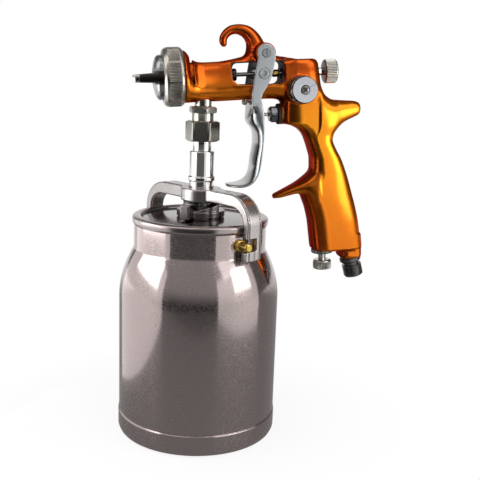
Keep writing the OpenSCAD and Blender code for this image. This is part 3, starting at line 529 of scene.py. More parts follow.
def casting(x, y, z):
    d = near(lambda a, b, c: loft_x(a, b, c, BARREL, 2.15, 3, 4), (-20, -25, -30), (66, 25, 26), x, y, z)
    d = smin(d, near(lambda a, b, c: loft_z(a, b, c, GRIP, 2.9), (40, -25, -126), (110, 25, 17), x, y, z),
             3.5)
    d = smin(d, near(lambda a, b, c: loft_x(a, b, c, TAIL, 2.7), (66, -25, -54), (110, 25, 2), x, y, z), 4)
    d = smin(d, near(lambda a, b, c: loft_x(a, b, c, SPUR, 2.4), (34, -25, -96), (78, 25, -50), x, y, z), 3)
    d = smin(d, near(hook_field, (5, -20, 0), (50, 20, 40), x, y, z), 3.5)
    d = smin(d, tube(x - 37.2, z - 12.4, y, 6.4, -12.9, 12.9), 1.6)
    d = smin(d, near(lambda a, b, c: loft_z(a, b, c, PAD, 3), (78, -20, -130), (110, 20, -100), x, y, z), 2)
    d = smin(d, tube(x - 58.4, z + 10.3, y, 8.8, -13.6, -10), 1.2)
    d = smin(d, tube(y, z + 25.6, x, 6.6, 45.9, 52), 1)
    d = np.minimum(d, tube(y, z, x, 14.9, -21.2, -12.5))
    d = smax(d, -np.maximum(polygon(x, z, inset(WINDOW, 3.2)) - 3.2, np.abs(y) - 30), 1.1)
    cut = np.maximum(tube(y, z, x, 12.6, -24, -7), -tube(y, z, x, 8.5, -18.5, -6))
    cut = np.minimum(cut, tube(y, z, x, 5.95, -24, 1))
    cut = np.minimum(cut, tube(y, z, x, 2.6, 0, 10))
    cut = np.minimum(cut, tube(y, z, x, 3.6, 9, 18))
    cut = np.minimum(cut, tube(y, z + 11.1, x, 2.6, -9, 59))
    cut = np.minimum(cut, tube(y, z, x, 3.45, 49, 76.6))
    cut = np.minimum(cut, tube(y, z + 25.6, x, 4.25, 45, 56))
    cut = np.minimum(cut, tube(y, z + 25.6, x, 3.85, 55, 76))
    cut = np.minimum(cut, tube(x - 58.4, z + 10.3, y, 4.45, -15, -1))
    cut = np.minimum(cut, tube(x - 37.2, z - 12.4, y, 2.45, -15, 15))
    cut = np.minimum(cut, tube(x - 74.7, y, z, 5.05, -118.3, -107.3))
    cut = np.minimum(cut, tube(x - 74.7, y, z, 3.2, -118.3, -66.3))
    a, b = x - 94.1, z + 123.2
    a, b = a * 0.97815 + b * 0.20791, a * 0.20791 - b * 0.97815
    cut = np.minimum(np.minimum(cut, tube(a, y, b, 6.3, -9, 3)), tube(a, y, b, 7.45, 0.28, 5))
    cut = np.minimum(cut, tube(x * C4 - z * S4, y, 232 + x * S4 + z * C4, 5.46, 210.3, 225))
    return smax(d, -cut, 0.7)


# The window's walls and the air valve's bore mouth take the near-black painted shade.
net_piece("casting", casting, (-21.2, -16.2, -123), (100.8, 16.2, 31), 0.68, GUN,
          [ORANGE, WINDOW_SHADE], "gun", ["gun_body"],
          pick=lambda x, y, z: ((np.abs(polygon(x, z, WINDOW)) < 0.9) & (np.abs(y) < 8.6))
          | ((x > 45) & (x < 48.6) & (np.hypot(y, z + 25.6) < 7.2)))

# ------------------------------------------------------------------ cup, pins, lid
shoulder = [(52 - 9 * ((z - 92) / 30.9) ** 1.9, z) for z in np.linspace(92, 122.9, 25)]
turned("cup", [[(0, 0), (49.5, 0), (51.6, 0.9), (52.5, 3), (52.5, 13.3), (52.2, 13.8), (51.75, 14.0),
                (51.75, 14.5),
                (52, 14.8)] + shoulder
               + [(42.7, 124.2), (42.7, 138.7), (41.1, 138.7), (41.1, 123.4)]
               + [(r - 1.6, z - 0.8) for r, z in reversed(shoulder)] + [(50.4, 5), (47.4, 2), (0, 2)]],
       UP, CUP, "gun", ["cup_body"], n=256, soft=0.3)
pin = [(0, 39.5), (3.1, 39.5), (3.1, 40.95), (2.5, 40.95), (2.5, 42.73), (3.8, 42.73), (3.8, 44.4), (3.2, 45),
       (2.8, 45), (2.8, 52.2), (2, 53), (0, 53)]
pins = [tuple([np.c_[V @ np.array((RZ(a) @ T(0, 0, 132) @ RY(90)).to_3x3()).T + (0, 0, 132)], F])
        for a in (-63.6, 116.4) for V, F in [lathe(pin, 64, 0.35)]]
turned("cup_pin_pair", pins, UP, BRASS, "gun", ["cup_pins"])
rim = [(40.7 + 3.2 * cos(radians(a)), 142.5 + 1.7 * sin(radians(a))) for a in range(0, 181, 12)]
# The lid top takes the darkened colour as painted shade; the rolled rim beyond radius 37.6 takes the rim
# metal.
turned("lid_shell", [[(7.8, 140.2), (42.8, 140.2), (42.8, 138.9), (43.2, 138.9), (43.9, 140.1)] + rim
                     + [(r, 143.4 - 1.2 * (r / 37.5) ** 2) for r in np.linspace(37.1, 7.8, 18)]],
       UP, [LID_SHADED, RIM], "gun", ["lid"], n=256, soft=0.25, pick=lambda r, z, a: r > 37.6)


# ------------------------------------------------------------------ yoke and cam lever
def box_2d(x, z, x0, x1, z0, z1, r):
    qx, qz = abs(x - (x0 + x1) / 2) - (x1 - x0) / 2 + r, abs(z - (z0 + z1) / 2) - (z1 - z0) / 2 + r
    return np.hypot(np.maximum(qx, 0), np.maximum(qz, 0)) + np.minimum(np.maximum(qx, qz), 0) - r


def yoke_field(x, y, z):
    s = np.where(x < 0, -1, 1)
    x, y = x * s, y * s
    out = np.maximum(box_2d(x, z, -50, 50, 80, 162, 18), 122.8 - z)
    cave = box_2d(x, z, -45.5, 45.5, 60, 154.2, 11)
    strap = np.maximum(out, -cave)
    d = smax(strap, np.abs(y) - 6, 1.3)
    jaw = smax(np.maximum(box_2d(x, z, 45.5, 50, 122.8, 128.9, 0.5), 0 * z), np.abs(y + 5.25) - 5.25, 0.8)
    d = smin(d, jaw, 0.6)
    boss = smax(np.hypot(x, y) - 13, np.abs(z - 157.9) - 4.1, 1.2)
    flare = smax(np.maximum(np.abs(y) - (11 - 0.39 * x), np.abs(x) - 21), np.abs(z - 158.1) - 3.6, 1)
    d = smin(smin(d, flare, 1), boss, 1)
    groove = np.maximum(np.abs(np.abs(y) - 4.5) - 0.28, np.maximum(-strap - 0.35,
                                                                   np.maximum(15 - x, z - 200)))
    d = smax(d, -groove, 0.35)
    slot = np.maximum(box_2d(y, z, -14, 1.8, 128.9, 136.5, 0.6), 44 - x)
    d = smax(d, -slot, 0.6)
    return smax(d, -(np.hypot(x, y) - 7.85), 0.7)


net_piece("yoke_clamp", yoke_field, (-50, -13, 122.8), (50, 13, 162), 0.5, YOKE, CAST,
          "yoke", ["yoke"])


def cam_field(x, y, z):
    r, a = np.hypot(x, y), np.degrees(np.arctan2(y, x))
    low, high = 143.8, 153.25
    d = smax(r - 15.5, np.abs(z - 145.8) - 2, 0.8)
    d = smin(d, smax(r - 9.9, np.abs(z - 148.6) - 4.8, 0.8), 1)
    for k in (0, 180):
        t = (-47.1 + k - a) % 360
        h = high - (high - 147.8) * np.clip(t, 0, 75) / 75
        d = smin(d, smax(smax(np.abs(r - 12.15) - 2.95, z - h, 0.8), np.where(t < 217, t - 75, 360 - t) * 0.2,
                         0.8), 0.6)
    ca, sa = cos(radians(-124.6)), sin(radians(-124.6))
    u, v = x * ca + y * sa, -x * sa + y * ca
    bar = smax(smax(np.abs(u - 15.75) - 6.75, np.abs(v) - 3.3, 1.2), np.abs(z - 148.6) - 4.8, 1.2)
    d = smin(d, bar, 0.8)
    return smax(d, -(r - 7.85), 0.6)


net_piece("cam", cam_field, (-23, -23, 143.8), (23, 23, 153.4), 0.42, UP, CAM,
          "cam_lever",
          ["cam_lever"])

# ------------------------------------------------------------------ stem, nuts and nipple
turned("stem", [[(3, 132), (6.97, 132), (7.77, 132.8), (7.77, 166.3), (8.66, 166.9), (8.66, 168.9),
                 (7.9, 169.5),
                 (7.9, 184.9), (7.3, 185.5), (5.82, 185.5), (5.82, 194.7), (6.75, 194.7), (6.75, 197),
                 (3, 197)]],
       UP, CHROME, "gun", ["material_stem"], n=160, soft=0.3)
turned("locknut", [hexagon(21, 134.7, 140.2, bore=7.8)], UP, STEEL, "gun", ["stem_locknut"])
turned("swivel", [hexagon(19, 191.5, 204.4, turn=-102.6, bore=6.9, n=240)], UP, NUT, "swivel_nut",
       ["swivel_nut"])
turned("nipple", [[(3, 198.4), (6.82, 198.4), (6.82, 209.3), (3, 209.3)],
                  hexagon(15.8, 209.1, 213.3, -54.6, bore=3),
                  [(3, 213), (5.44, 213), (5.44, 224.6), (3, 224.6)]], UP, NUT, "gun", ["fluid_nipple"],
                  n=120)


# ------------------------------------------------------------------ front end
def cap_field(x, y, z):
    r = np.hypot(y, z)
    shell = polygon(r, x, [(2.7, -32.2), (4.5, -32), (9.4, -31), (12.4, -29.9), (13.4, -28.9), (13.7, -28),
                           (13.7, -25.4),
                           (14.1, -25), (14.1, -24), (14.7, -24), (14.7, -21.6), (12.4, -21.6), (12.4, -26),
                           (10, -28.4), (2.7, -30.4)]) - 0.1
    y = np.abs(y)
    xs = [-44.1, -43, -39.7, -29, -25.5]
    inn, out, half = (np.interp(x, xs, v) for v in ([9.4, 8.7, 8.4, 7.2, 6.6], [11.9, 12.5, 12.7, 13.3, 13.5],
                                                    [1.9, 2.4, 2.5, 3.1, 3.3]))
    arm = section(y - (inn + out) / 2, z, (out - inn) / 2, half, 3.4)
    arm = smax(smax(arm, -44.1 - x, 0.8), x + 25.5, 0.5)
    arm = np.maximum(arm, -np.maximum(r - 12.4, -28 - x))
    d = smin(shell, arm, 1.2)
    d = smax(d, -np.maximum(np.hypot(x + 41.7, z) - 0.75, np.abs(y - 9.5) - 2.4), 0.25)
    for a in (-24, 24):
        ya, za = 6 * cos(radians(a)), 6 * sin(radians(a))
        d = smax(d, -np.maximum(np.hypot(y - ya, z - za) - 0.6, np.abs(x + 32) - 3), 0.25)
    return d


# Painted light: the horns are painted dark and their tips pale, a painted shade and a painted highlight on
# the cap's one metal; the faces of the horn's hole are painted dark as painted shade.
net_piece("cap", cap_field, (-44.1, -14.7, -14.7), (-21.6, 14.7, 14.7), 0.32, GUN,
          [CAPMAT, DARK_PLATE_AND_SHADE, KNOB], "air_cap", ["air_cap"],
          pick=lambda x, y, z: np.where((x > -40.3) | (np.hypot(x + 41.7, z) < 0.9),
                                        (np.abs(y) > 8) & (np.abs(z) < 4) & (x < -25.8), 2))
# The knurl's valleys take the darker groove colour as painted shade.
turned("collar", [[(14.4, -25.75), (15.3, -26.1), (16.8, -25.5), (17.8, -24.3), (18.15, -23.2), (18.2, -22.8),
                   (18.2, -22.6),
                   (18.2, -15.9), (18.2, -15.7), (18.2, -15.2), (17.6, -14), (16.8, -13.2), (14.98, -13.2),
                   (14.98, -24.3), (14.4, -24.3)]],
       ALONG, [COLLAR, GROOVE_SHADE], "retaining_collar", ["retaining_collar"], n=1080, soft=0.3,
       rad=knurl(-22.7, -15.8, 18.2, 126, 0.3, 9, 0.055), pick=lambda r, z,
       a: r < 18.12 and -22.7 < z < -15.8)
turned("nozzle", [[(1, -34.2), (1.9, -34.2), (2, -31.5), (4.2, -27.5), (6.4, -25), (6.4, -20.9), (5.9, -20.9),
                   (5.9, -1),
                   (3, -1), (3, -27.5), (1, -32.6)]], ALONG, STEEL, "gun", ["fluid_nozzle"], n=96, soft=0.1)
turned("needle_rod", [[(0, -34), (0.3, -34), (0.88, -32.6), (1.3, -30.4), (1.3, 51), (3.1, 51), (3.1, 52.3),
                       (1.3, 52.3),
                       (1.3, 62.4), (1, 63.1), (0, 63.1)]], ALONG, STEEL, "needle", ["needle"], n=64,
                       soft=0.1)
turned("needle_ring", [[(1.3, 39), (2.35, 39), (2.35, 42.5), (1.95, 42.9), (1.95, 43.7), (2.35, 44.1),
                        (2.35, 47.5),
                        (1.9, 48), (1.3, 48)]], ALONG, BRASS, "needle", ["needle_collar"], n=64, soft=0.15)
# Painted shade: the knob's front face is painted dark, standing for a dark reflection, and the knurl's
# valleys are darker than the teeth.
turned("needle_adjuster", [[(0, 66.9), (2.6, 66.9), (3.32, 67.6), (3.32, 73), (2.45, 73.2), (2.45, 77.5),
                            (0, 77.5)],
                           lathe([(0, 77.3), (6.5, 77.3), (7.5, 77.9), (7.6, 78.2), (7.6, 78.5), (7.6, 83.9),
                                  (7.6, 84.2), (7.4, 84.8), (6.9, 85.3), (3.2, 85.3), (2.9, 85), (0, 85)],
                                  336, 0.2,
                                 knurl(78.1, 84.3, 7.6, 42, 0.45))], ALONG, [KNOB, GROOVE_SHADE, CHROME, DARK_PLATE_AND_SHADE],
       "needle_knob", ["needle_knob"], pick=lambda r, z,
       a: 2 if z < 77.25 else (3 if z < 77.6 else r < 7.4 and z < 84))


def coil(r, wire, z0, z1, turns, n=24):
    """Closed wire spring round the z axis."""
    a = np.linspace(0, 2 * pi * turns, int(turns * 40))
    z = z0 + wire + (z1 - z0 - 2 * wire) * a / a[-1]
    b = np.arange(n) * 2 * pi / n
    R = r + wire * np.cos(b)[None, :]
    V = np.stack([R * np.cos(a)[:, None], R * np.sin(a)[:, None], z[:, None] + wire * np.sin(b)[None, :]], -1)
    i, j = np.meshgrid(np.arange(len(a) - 1), np.arange(n), indexing="ij")
    F = np.stack([i * n + j, i * n + (j + 1) % n, (i + 1) * n + (j + 1) % n, (i + 1) * n + j], -1).reshape(-1,
            4)
    ends = [list(range(n))[::-1], [(len(a) - 1) * n + k for k in range(n)]]
    return V.reshape(-1, 3), [list(f) for f in F] + ends


piece("needle_coil", *coil(2.45, 0.5, 52.4, 66.5, 8, 12), ALONG, STEEL, "gun", ["needle_spring"])
piece("air_valve_coil", *coil(2.65, 0.6, 59.7, 75.9, 7, 12), GUN @ T(0, 0, -25.6) @ RY(90), STEEL, "gun",
      ["air_valve_spring"])

# ------------------------------------------------------------------ trigger
PLATE_REAR = [(42.7, 13.5), (43.1, 10), (42, 4.5), (39.9, -2.5), (37.2, -7.6), (34.2, -12), (33.4, -15.5),
              (34.1, -19.5)]
PLATE_FRONT = [(32.4, 12), (30.9, 5), (29.6, -1), (28.4, -7), (27.4, -12.5), (27.4, -19.5)]
plate = np.vstack([smooth_line(PLATE_FRONT, 4), smooth_line(PLATE_REAR, 4)[::-1]])
# finger part: x, z of the middle of its face, direction of its depth, depth, half width, squareness
SHEET = [(27.5, -17.6, 0, 6.2, 14.9, 7), (27.2, -20.5, 0, 7, 14.9, 4.6), (26.5, -23.5, 0, 8.3, 14.85, 3.4),
         (25.9, -26.3, 0, 9.1, 14.75, 2.8), (25.8, -28.6, 0, 9.1, 14.6, 2.5),
         (26.6, -30.7, 0, 8.3, 14.6, 2.4), (28.2, -32.8, 0, 6.7, 14.5, 2.3), (29.6, -35.2, 0, 5.2, 14.5, 2.3),
         (30.2, -38.6, 0, 4.4, 14.5, 2.3), (30.2, -43, 0, 3.9, 14.5, 2.3), (29.4, -47.6, 0, 4.1, 14.5, 2.3),
         (28.4, -51.6, 0, 4.5, 14.5, 2.3), (27.6, -56, -3, 4.5, 14.5, 2.3), (27.1, -60, -12, 3.8, 14.5, 2.4),
         (26.3, -63.4, -27, 2.9, 14.5, 2.5), (25, -65.8, -48, 2.2, 14.4, 2.8),
         (23.1, -67.4, -68, 1.8, 14, 3.2), (20.4, -68.3, -80, 1.7, 13, 3.6), (17.2, -68.6, -88, 1.65, 11, 4),
         (14.2, -68.5, -92, 1.6, 8.2, 4), (12, -68.3, -94, 1.6, 5.4, 4), (11, -68.2, -94, 1.6, 2.8, 4)]


def sheet_chart():
    """On a grid of the gun's middle plane: depth behind the face, distance past the ends, station data."""
    x0, z0, h, nx, nz = 4.0, -76.0, 0.2, 240, 320  # the grid's corner, its step in mm and its counts
    S = smooth_line(SHEET, 6)
    X, Z = np.meshgrid(x0 + h * np.arange(nx), z0 + h * np.arange(nz), indexing="ij")
    a = np.radians(S[:, 2])
    dx, dz = X[..., None] - S[:, 0], Z[..., None] - S[:, 1]
    g, q = dz * np.cos(a) - dx * np.sin(a), dx * np.cos(a) + dz * np.sin(a)
    f = np.clip(-g[..., :-1] / np.where(np.abs(g[..., 1:] - g[..., :-1]) < 1e-9, 1e-9,
                                        g[..., 1:] - g[..., :-1]), 0, 1)
    qs = q[..., :-1] * (1 - f) + q[..., 1:] * f
    cost = np.where((g[..., :-1] <= 0) & (g[..., 1:] > 0), np.abs(qs - 2), 1e3)
    cost[..., 0] = np.where(g[..., 0] > 0, 500, cost[..., 0])
    cost[..., -1] = np.where((g[..., -1] < 0) & (cost.min(-1) > 400), 400, cost[..., -1])
    k = cost.argmin(-1)
    take = lambda A: np.take_along_axis(A, k[..., None], -1)[..., 0]
    f, q = take(f), take(qs)
    end = np.maximum(g[..., 0], -g[..., -1])
    data = [S[k, c] * (1 - f) + S[k + 1, c] * f for c in (3, 4, 5)]
    chart = np.stack([q, end] + data, -1)

    def look(x, z):
        i, j = np.clip((x - x0) / h, 0, nx - 1.001), np.clip((z - z0) / h, 0, nz - 1.001)
        i0, j0 = i.astype(int), j.astype(int)
        i, j = (i - i0)[..., None], (j - j0)[..., None]
        lo = chart[i0, j0] * (1 - i) + chart[i0 + 1, j0] * i
        hi = chart[i0, j0 + 1] * (1 - i) + chart[i0 + 1, j0 + 1] * i
        return np.moveaxis(lo * (1 - j) + hi * j, -1, 0)
    return look


sheet_at = sheet_chart()


def trigger_field(x, y, z):
    y = np.abs(y)
    q, end, deep, wide, power = sheet_at(x, z)
    r = np.minimum(q - deep, 0)
    d = smax(section(y, r, wide, deep, power), -section(y, r, wide - 1.5, deep - 1.46, power), 0.3)
    d = smax(smax(d, q - deep, 0.7), end, 0.6)
    flat = np.minimum(polygon(x, z, plate), np.hypot(x - 37.2, z - 12.4) - 5.6)
    d = smin(d, smax(flat, np.abs(y - 14.15) - 0.75, 0.5), 0.35)
    d = smax(d, -(np.hypot(x - 37.2, z - 12.4) - 2.53), 0.3)
    return smax(d, -(np.hypot(x - 35.2, z - 0.3) - 3.4), 0.3)


def sheet_finish_and_shade(x, y, z):
    """Satin sides and a polished web; thin dark lines where the web turns into the sides, and grey on the far
    plate's inner faces, are painted shade.
    """
    web = np.where(np.abs(y) > 9.9 - 0.35 * np.clip(z + 64, -6, 0), np.where(np.abs(y) < 12, 3, 0), 1)
    web = np.where(z > -24, np.where(np.abs(y) < 14.3, np.where(np.abs(y) > 13.2, 3, 1), 0), web)
    web = np.where(z < -66, 1, web)
    return np.where(z > -17.5, np.where((y > 0) & (y < 14), 2, 0), web)


# The trigger's dark corner lines and grey far inner faces are painted shade.
net_piece("trigger_sheet", trigger_field, (11, -14.9, -70.2), (43.2, 14.9, 18.1), 0.42,
          GUN,
          [PLATE, POLISH, GREY, DARK_PLATE_AND_SHADE], "trigger", ["trigger"], pick=sheet_finish_and_shade)
BUSH = GUN @ T(35.2, 0, 0.3) @ RX(90)
turned("bush", [[(0, -14.4), (1.6, -14.4), (1.6, -15.2), (2.7, -15.2), (2.9, -15.0), (3.38, -15.0),
                 (3.38, -3), (0, -3)],
                [(0, 3), (3.38, 3), (3.38, 15.0), (2.9, 15.0), (2.7, 15.2), (1.6, 15.2), (1.6, 14.4),
                 (0, 14.4)],
                [(2.78, -3.4), (3.38, -3.4), (3.38, 3.4), (2.78, 3.4)]], BUSH, HEADS, "trigger",
                ["trigger_bush"], n=96,
       soft=0.12)

# ------------------------------------------------------------------ air valve
turned("valve_body", [hexagon(10, 41.6, 45.8, turn=60, bore=1.2),
                      [(1.2, 40.6), (4.4, 40.6), (4.4, 41.7), (1.2, 41.7)],
                      [(1.2, 45.7), (4.2, 45.7), (4.2, 55.8), (1.2, 55.8)]],
       GUN @ T(0, 0, -25.6) @ RY(90), VALVE, "gun", ["air_valve_body"], n=96, soft=0.25)
turned("valve_pin", [[(0, 28), (0.8, 28), (1.1, 28.4), (1.1, 57.2), (0, 57.2)]],
       GUN @ T(0, 0, -25.6) @ RY(90),
       STEEL, "air_valve", ["air_valve_stem"], n=48, soft=0.1)

# ------------------------------------------------------------------ fan knob, flow valve and air inlet
# The face is pale with a dark tick mark; the rim's bevel, the knurl's valleys, the back and the bore are
# painted dark as painted shade, and only the knurl's tips keep the bright plate.
turned("fan_dial", [[(1.5, 14.8), (7.9, 14.8), (8.4, 15.3), (8.5, 15.6), (8.5, 15.9), (8.5, 22.9),
                     (8.5, 23.2), (8.4, 23.5),
                     (8.1, 23.8), (8.1, 24.1), (8.2, 24.5), (8.2, 25), (7.7, 25.6), (7.5, 25.6), (4.5, 25.6),
                     (3.1, 25.6),
                     (2.8, 25.3), (2.8, 24.2), (1.5, 24.2)]],
       FAN, [DIAL, DARK_PLATE_AND_SHADE, KNOB], "fan_knob", ["fan_knob"], n=432, soft=0.15,
       rad=knurl(15.5, 23.3, 8.5, 54, 0.5),
       pick=lambda r, z, a: (0.9 < abs(a - 27) * r / 8 < 1.8 and r < 7.5) if z > 25.35 and r > 2.9 else
       (2 if z > 15.5 and r > 8.35 else 1))


def screw_field(x, y, z):
    head = np.maximum(np.hypot(x, y) - 2.62, np.maximum(24.25 - z, z - 25.65 + 0.05 * (x * x + y * y)))
    a, b = np.abs(x + y) * 0.7071, np.abs(x - y) * 0.7071
    cross = np.maximum(np.minimum(np.maximum(a - 1.75, b - 0.42), np.maximum(b - 1.75, a - 0.42)), 24.7 - z)
    return np.minimum(smax(head, -cross, 0.15), np.maximum(np.hypot(x, y) - 1.45,
                                                           np.maximum(9 - z, z - 24.5)))


# Painted shade: the screw's cross recess is painted dark; the shank below takes the same colour.
net_piece("dial_screw", screw_field, (-2.7, -2.7, 9), (2.7, 2.7, 25.7), 0.15, FAN,
          [GREY, DARK_PLATE_AND_SHADE], "fan_knob", ["fan_knob_screw"],
          pick=lambda x, y, z: (z < 25.15) & (np.hypot(x, y) < 1.9))
turned("fan_sleeve", [[(2.28, 6), (4.4, 6), (4.4, 13.6), (6.6, 13.6), (6.6, 14.4), (2.28, 14.4)]], FAN, GREY,
       "gun",
       ["fan_valve_sleeve"], n=96, soft=0.2)
turned("gland", [[(2.58, 8.7), (5, 8.7), (5, 0), (7.3, 0), (7.3, -2), (6.7, -2.7), (2.58, -2.7)]],
       FLOW, GREY, "gun", ["flow_gland"], n=240, soft=0.25,
       rad=lambda R, Z, A: np.where(R > 6.2, R - 0.55 * np.clip(np.cos(A * 12) * 3 - 1.6, 0, 1), R))
turned("flow_stem", [[(0, 17), (1, 17), (2.5, 14.4), (2.5, -8), (0, -8)]], FLOW, STEEL, "flow_knob",
       ["flow_valve_stem"], n=48, soft=0.2)
# The knurl's valleys take the darker groove colour as painted shade.
turned("flow_dial", [lathe([(0, -13.8), (5, -13.8), (5.9, -13.4), (6.1, -12.9), (6.1, -12.6), (6.1, -8.6),
                            (6.1, -8.2),
                            (5.9, -7.8), (5.3, -7.3), (0, -7.3)], 288, 0.2,
                            knurl(-12.8, -8.4, 6.1, 36, 0.45))], FLOW,
       [KNOB, GROOVE_SHADE], "flow_knob", ["flow_knob"], pick=lambda r, z, a: r < 5.9 and -12.6 < z < -8.5)


def thread(R, Z, A):
    t = (Z / 1.41 - A / (2 * pi)) % 1
    w = np.clip(3 * np.abs(t - 0.5) - 0.25, 0, 1)
    fade = np.clip((Z - 5.6) / 0.8, 0, 1) * np.clip((13.2 - Z) / 0.8, 0, 1)
    return np.where((R > 6.2) & (Z > 5.4) & (Z < 13.3), R - 0.62 * w * fade, R)


side = [(6.58, z) for z in np.arange(5.6, 12.5, 0.14)]
turned("inlet", [[(3.8, -7.5), (6.25, -7.5), (6.25, 0.3), (7.1, 0.35), (7.1, 2.6), (6.2, 3.4), (5, 3.6),
                  (5, 5.4)] + side
                 + [(6.5, 12.7), (5.78, 13.4), (3.8, 13.4)]], INLET, BLACK, "gun", ["air_inlet"], n=192,
                 soft=0, rad=thread)

# ------------------------------------------------------------------ CAD nodes that keep their shape
KEEP = {"lid_gasket": RUBBER, "pickup_tube": STEEL, "stem_seal": SEAL, "nozzle_gasket": SEAL, "baffle": STEEL,
        "needle_packing": SEAL, "packing_nut": DARK_PLATE_AND_SHADE, "trigger_pivot": HEADS, "pivot_nut": HEADS,
        "passage_plug": STEEL,
        "air_valve_poppet": SEAL, "fan_valve_stem": STEEL, "inlet_seal": RUBBER}
for name, m in KEEP.items():
    NODES[name].data.materials.clear()
    NODES[name].data.materials.append(m)

# ------------------------------------------------------------------ floor, light, camera
BACK = (0.132, 0.991, 0)  # level direction from the camera through the cup


def graph(tree):
    n, link = tree.nodes, tree.links

    def add(kind, *feeds, **values):
        """Node with its first inputs fed from sockets or set to values."""
        node = n.new("ShaderNode" + kind)
        for k, v in values.items():
            setattr(node, k, v)
        for k, v in enumerate(feeds):
            if isinstance(v, bpy.types.NodeSocket):
                link.new(v, node.inputs[k])
            elif v is not None:
                node.inputs[k].default_value = v
        return node
    return add, link.new


def shades(node, *stops):
    """Sets a colour ramp's grey stops, given as (position, grey)."""
    e = node.color_ramp.elements
    while len(e) < len(stops):
        e.new(0.5)
    for k, (at, grey) in enumerate(stops):
        e[k].position, e[k].color = at, (grey, grey, grey, 1)
    return node.outputs[0]


def any_ray(add, path, *kinds):
    total = path.outputs[kinds[0]]
    for k in kinds[1:]:
        total = add("Math", total, path.outputs[k], operation="MAXIMUM").outputs[0]
    return total


floor = bpy.data.objects.new("floor", bpy.data.meshes.new("floor"))
ring = [(3 * cos(a), 3 * sin(a), 0) for a in np.linspace(0, 2 * pi, 96, endpoint=False)]
floor.data.from_pydata(ring, [], [range(96)])
bpy.context.scene.collection.objects.link(floor)
fm = bpy.data.materials.new("pale_floor")
fm.use_nodes = True
fm.node_tree.nodes.clear()
add, link = graph(fm.node_tree)
path, coord = add("LightPath"), add("TexCoord")
along_view = add("VectorMath", coord.outputs["Object"], BACK, operation="DOT_PRODUCT").outputs["Value"]
near_far = add("MapRange", along_view, -3, 3, 0, 1).outputs[0]
# Metal does not see the white floor: it reflects these greys, dark near the camera, white behind the cup.
mirrored = shades(add("ValToRGB", near_far), (0.0, 0.02), (0.38, 0.02),
                  (0.42, 0.08), (0.447, 0.1), (0.457, 0.27), (0.55, 0.32), (0.6, 1.0))
away = add("VectorMath", coord.outputs["Object"], operation="LENGTH").outputs["Value"]
own_shadow = add("MapRange", away, 0.06, 0.16, 0.13,
                 0.0).outputs[0]  # how much of the shadow shows, by distance
white = add("Emission", (1, 1, 1, 1), 1.0)
lit = add("BsdfDiffuse", (0.85, 0.85, 0.85, 1))
pale = add("MixShader", own_shadow, white.outputs[0], lit.outputs[0])
mirror = add("Emission", mirrored, 1.0)
shown = add("MixShader", path.outputs["Is Glossy Ray"], pale.outputs[0], mirror.outputs[0])
plain = add("BsdfDiffuse", (0.75, 0.75, 0.75, 1))
both = add("MixShader", any_ray(add, path, "Is Camera Ray", "Is Glossy Ray", "Is Transmission Ray"),
           plain.outputs[0], shown.outputs[0])
link(both.outputs[0], add("OutputMaterial").inputs["Surface"])
floor.data.materials.append(fm)

world = bpy.data.worlds.new("world")
bpy.context.scene.world = world
world.use_nodes = True
world.node_tree.nodes.clear()
add, link = graph(world.node_tree)
path, coord = add("LightPath"), add("TexCoord")
toward = add("VectorMath", coord.outputs["Generated"], BACK, operation="DOT_PRODUCT").outputs["Value"]
turn = add("MapRange", toward, -1, 1, 0, 1).outputs[0]
# Metal sees this grey room, not the white backdrop; it is white only straight behind the cup.
room = shades(add("ValToRGB", turn), (0.0, 0.45), (0.22, 0.42), (0.42, 0.15), (0.9, 0.17), (0.985, 1.0))
height = add("SeparateXYZ", coord.outputs["Generated"]).outputs["Z"]
rise = add("MapRange", height, 0.03, 0.22, 0.85, 0.0).outputs[0]
behind = add("MapRange", toward, -0.8, 0.0, 1.0, 0.0).outputs[0]
dim = add("Math", rise, behind, operation="MULTIPLY").outputs[0]
room = add("MixRGB", dim, room, (0.05, 0.05, 0.05, 1)).outputs[0]
fill = add("Background", (1, 1, 1, 1), 0.45)
seen = add("Background", (1, 1, 1, 1), 1.0)
glossy = add("Background", room, 1.0)
lit = add("MixShader", path.outputs["Is Glossy Ray"], fill.outputs[0], glossy.outputs[0])
both = add("MixShader", any_ray(add, path, "Is Camera Ray", "Is Transmission Ray"), lit.outputs[0],
           seen.outputs[0])
link(both.outputs[0], add("OutputWorld").inputs["Surface"])


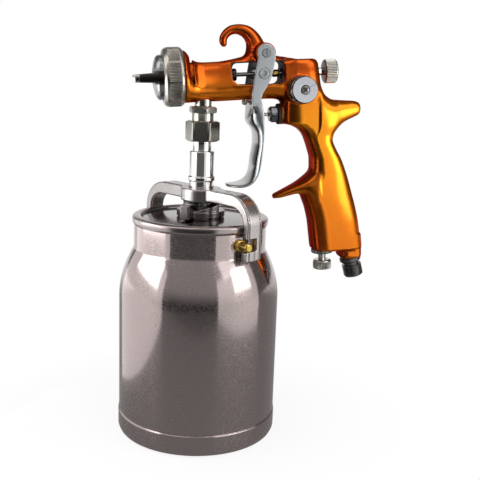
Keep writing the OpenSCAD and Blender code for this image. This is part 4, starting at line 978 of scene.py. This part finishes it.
def softbox(name, a, b, low, high, level, lean=0.0):
    """Upright lamp over the floor line from a to b, between two heights, shining to the left of that line."""
    a, b = Vector(a), Vector(b)
    L = bpy.data.lights.new(name, "AREA")
    L.shape, L.size, L.size_y = "RECTANGLE", (b - a).length, high - low
    L.energy = level * pi * L.size * L.size_y
    o = bpy.data.objects.new(name, L)
    ahead = Vector((a.y - b.y, b.x - a.x, -lean)).normalized()
    o.location = (*((a + b) / 2), (low + high) / 2)
    o.rotation_euler = ahead.to_track_quat("-Z", "Y").to_euler()
    o.visible_camera = False
    bpy.context.scene.collection.objects.link(o)


softbox("left_low", (-0.096, 0.071), (-0.267, -0.182), 0.0, 0.25, 0.9)
softbox("left_mid", (-0.105, 0.02), (-0.19, -0.10), 0.13, 0.225, 2.4)
softbox("left_high", (-0.14, 0.02), (-0.30, -0.20), 0.28, 0.75, 1.5, 0.25)
softbox("right_low", (0.104, -0.323), (0.29, -0.058), 0.0, 0.25, 0.9)
softbox("right_mid", (0.178, -0.208), (0.252, -0.102), 0.14, 0.25, 2.8)
softbox("right_edge", (0.062, -0.21), (0.104, -0.323), 0.02, 0.25, 1.3)
softbox("right_high", (0.13, -0.36), (0.30, -0.10), 0.28, 0.75, 1.5, 0.25)
overhead = bpy.data.lights.new("top", "AREA")
overhead.shape, overhead.size, overhead.size_y, overhead.energy = "RECTANGLE", 0.6, 0.6, 0.5 * pi * 0.36
top = bpy.data.objects.new("top", overhead)
top.location = (0.08, 0.05, 1.0)
top.visible_camera = False
bpy.context.scene.collection.objects.link(top)

cam = bpy.data.objects.new("camera", bpy.data.cameras.new("camera"))
cam.data.lens = 58.25
cam.data.sensor_width = 36
cam.data.clip_start = 0.01
cam.matrix_world = RZ(2.4) @ Matrix(((0.9754, 0.0135, -0.2202, -0.08615),
                                     (-0.2181, 0.2098, -0.9531, -0.48856),
                           (0.0334, 0.9776, 0.2076, 0.23326), (0, 0, 0, 1)))
bpy.context.scene.collection.objects.link(cam)
scene = bpy.context.scene
scene.camera = cam
scene.view_settings.view_transform = "Standard"
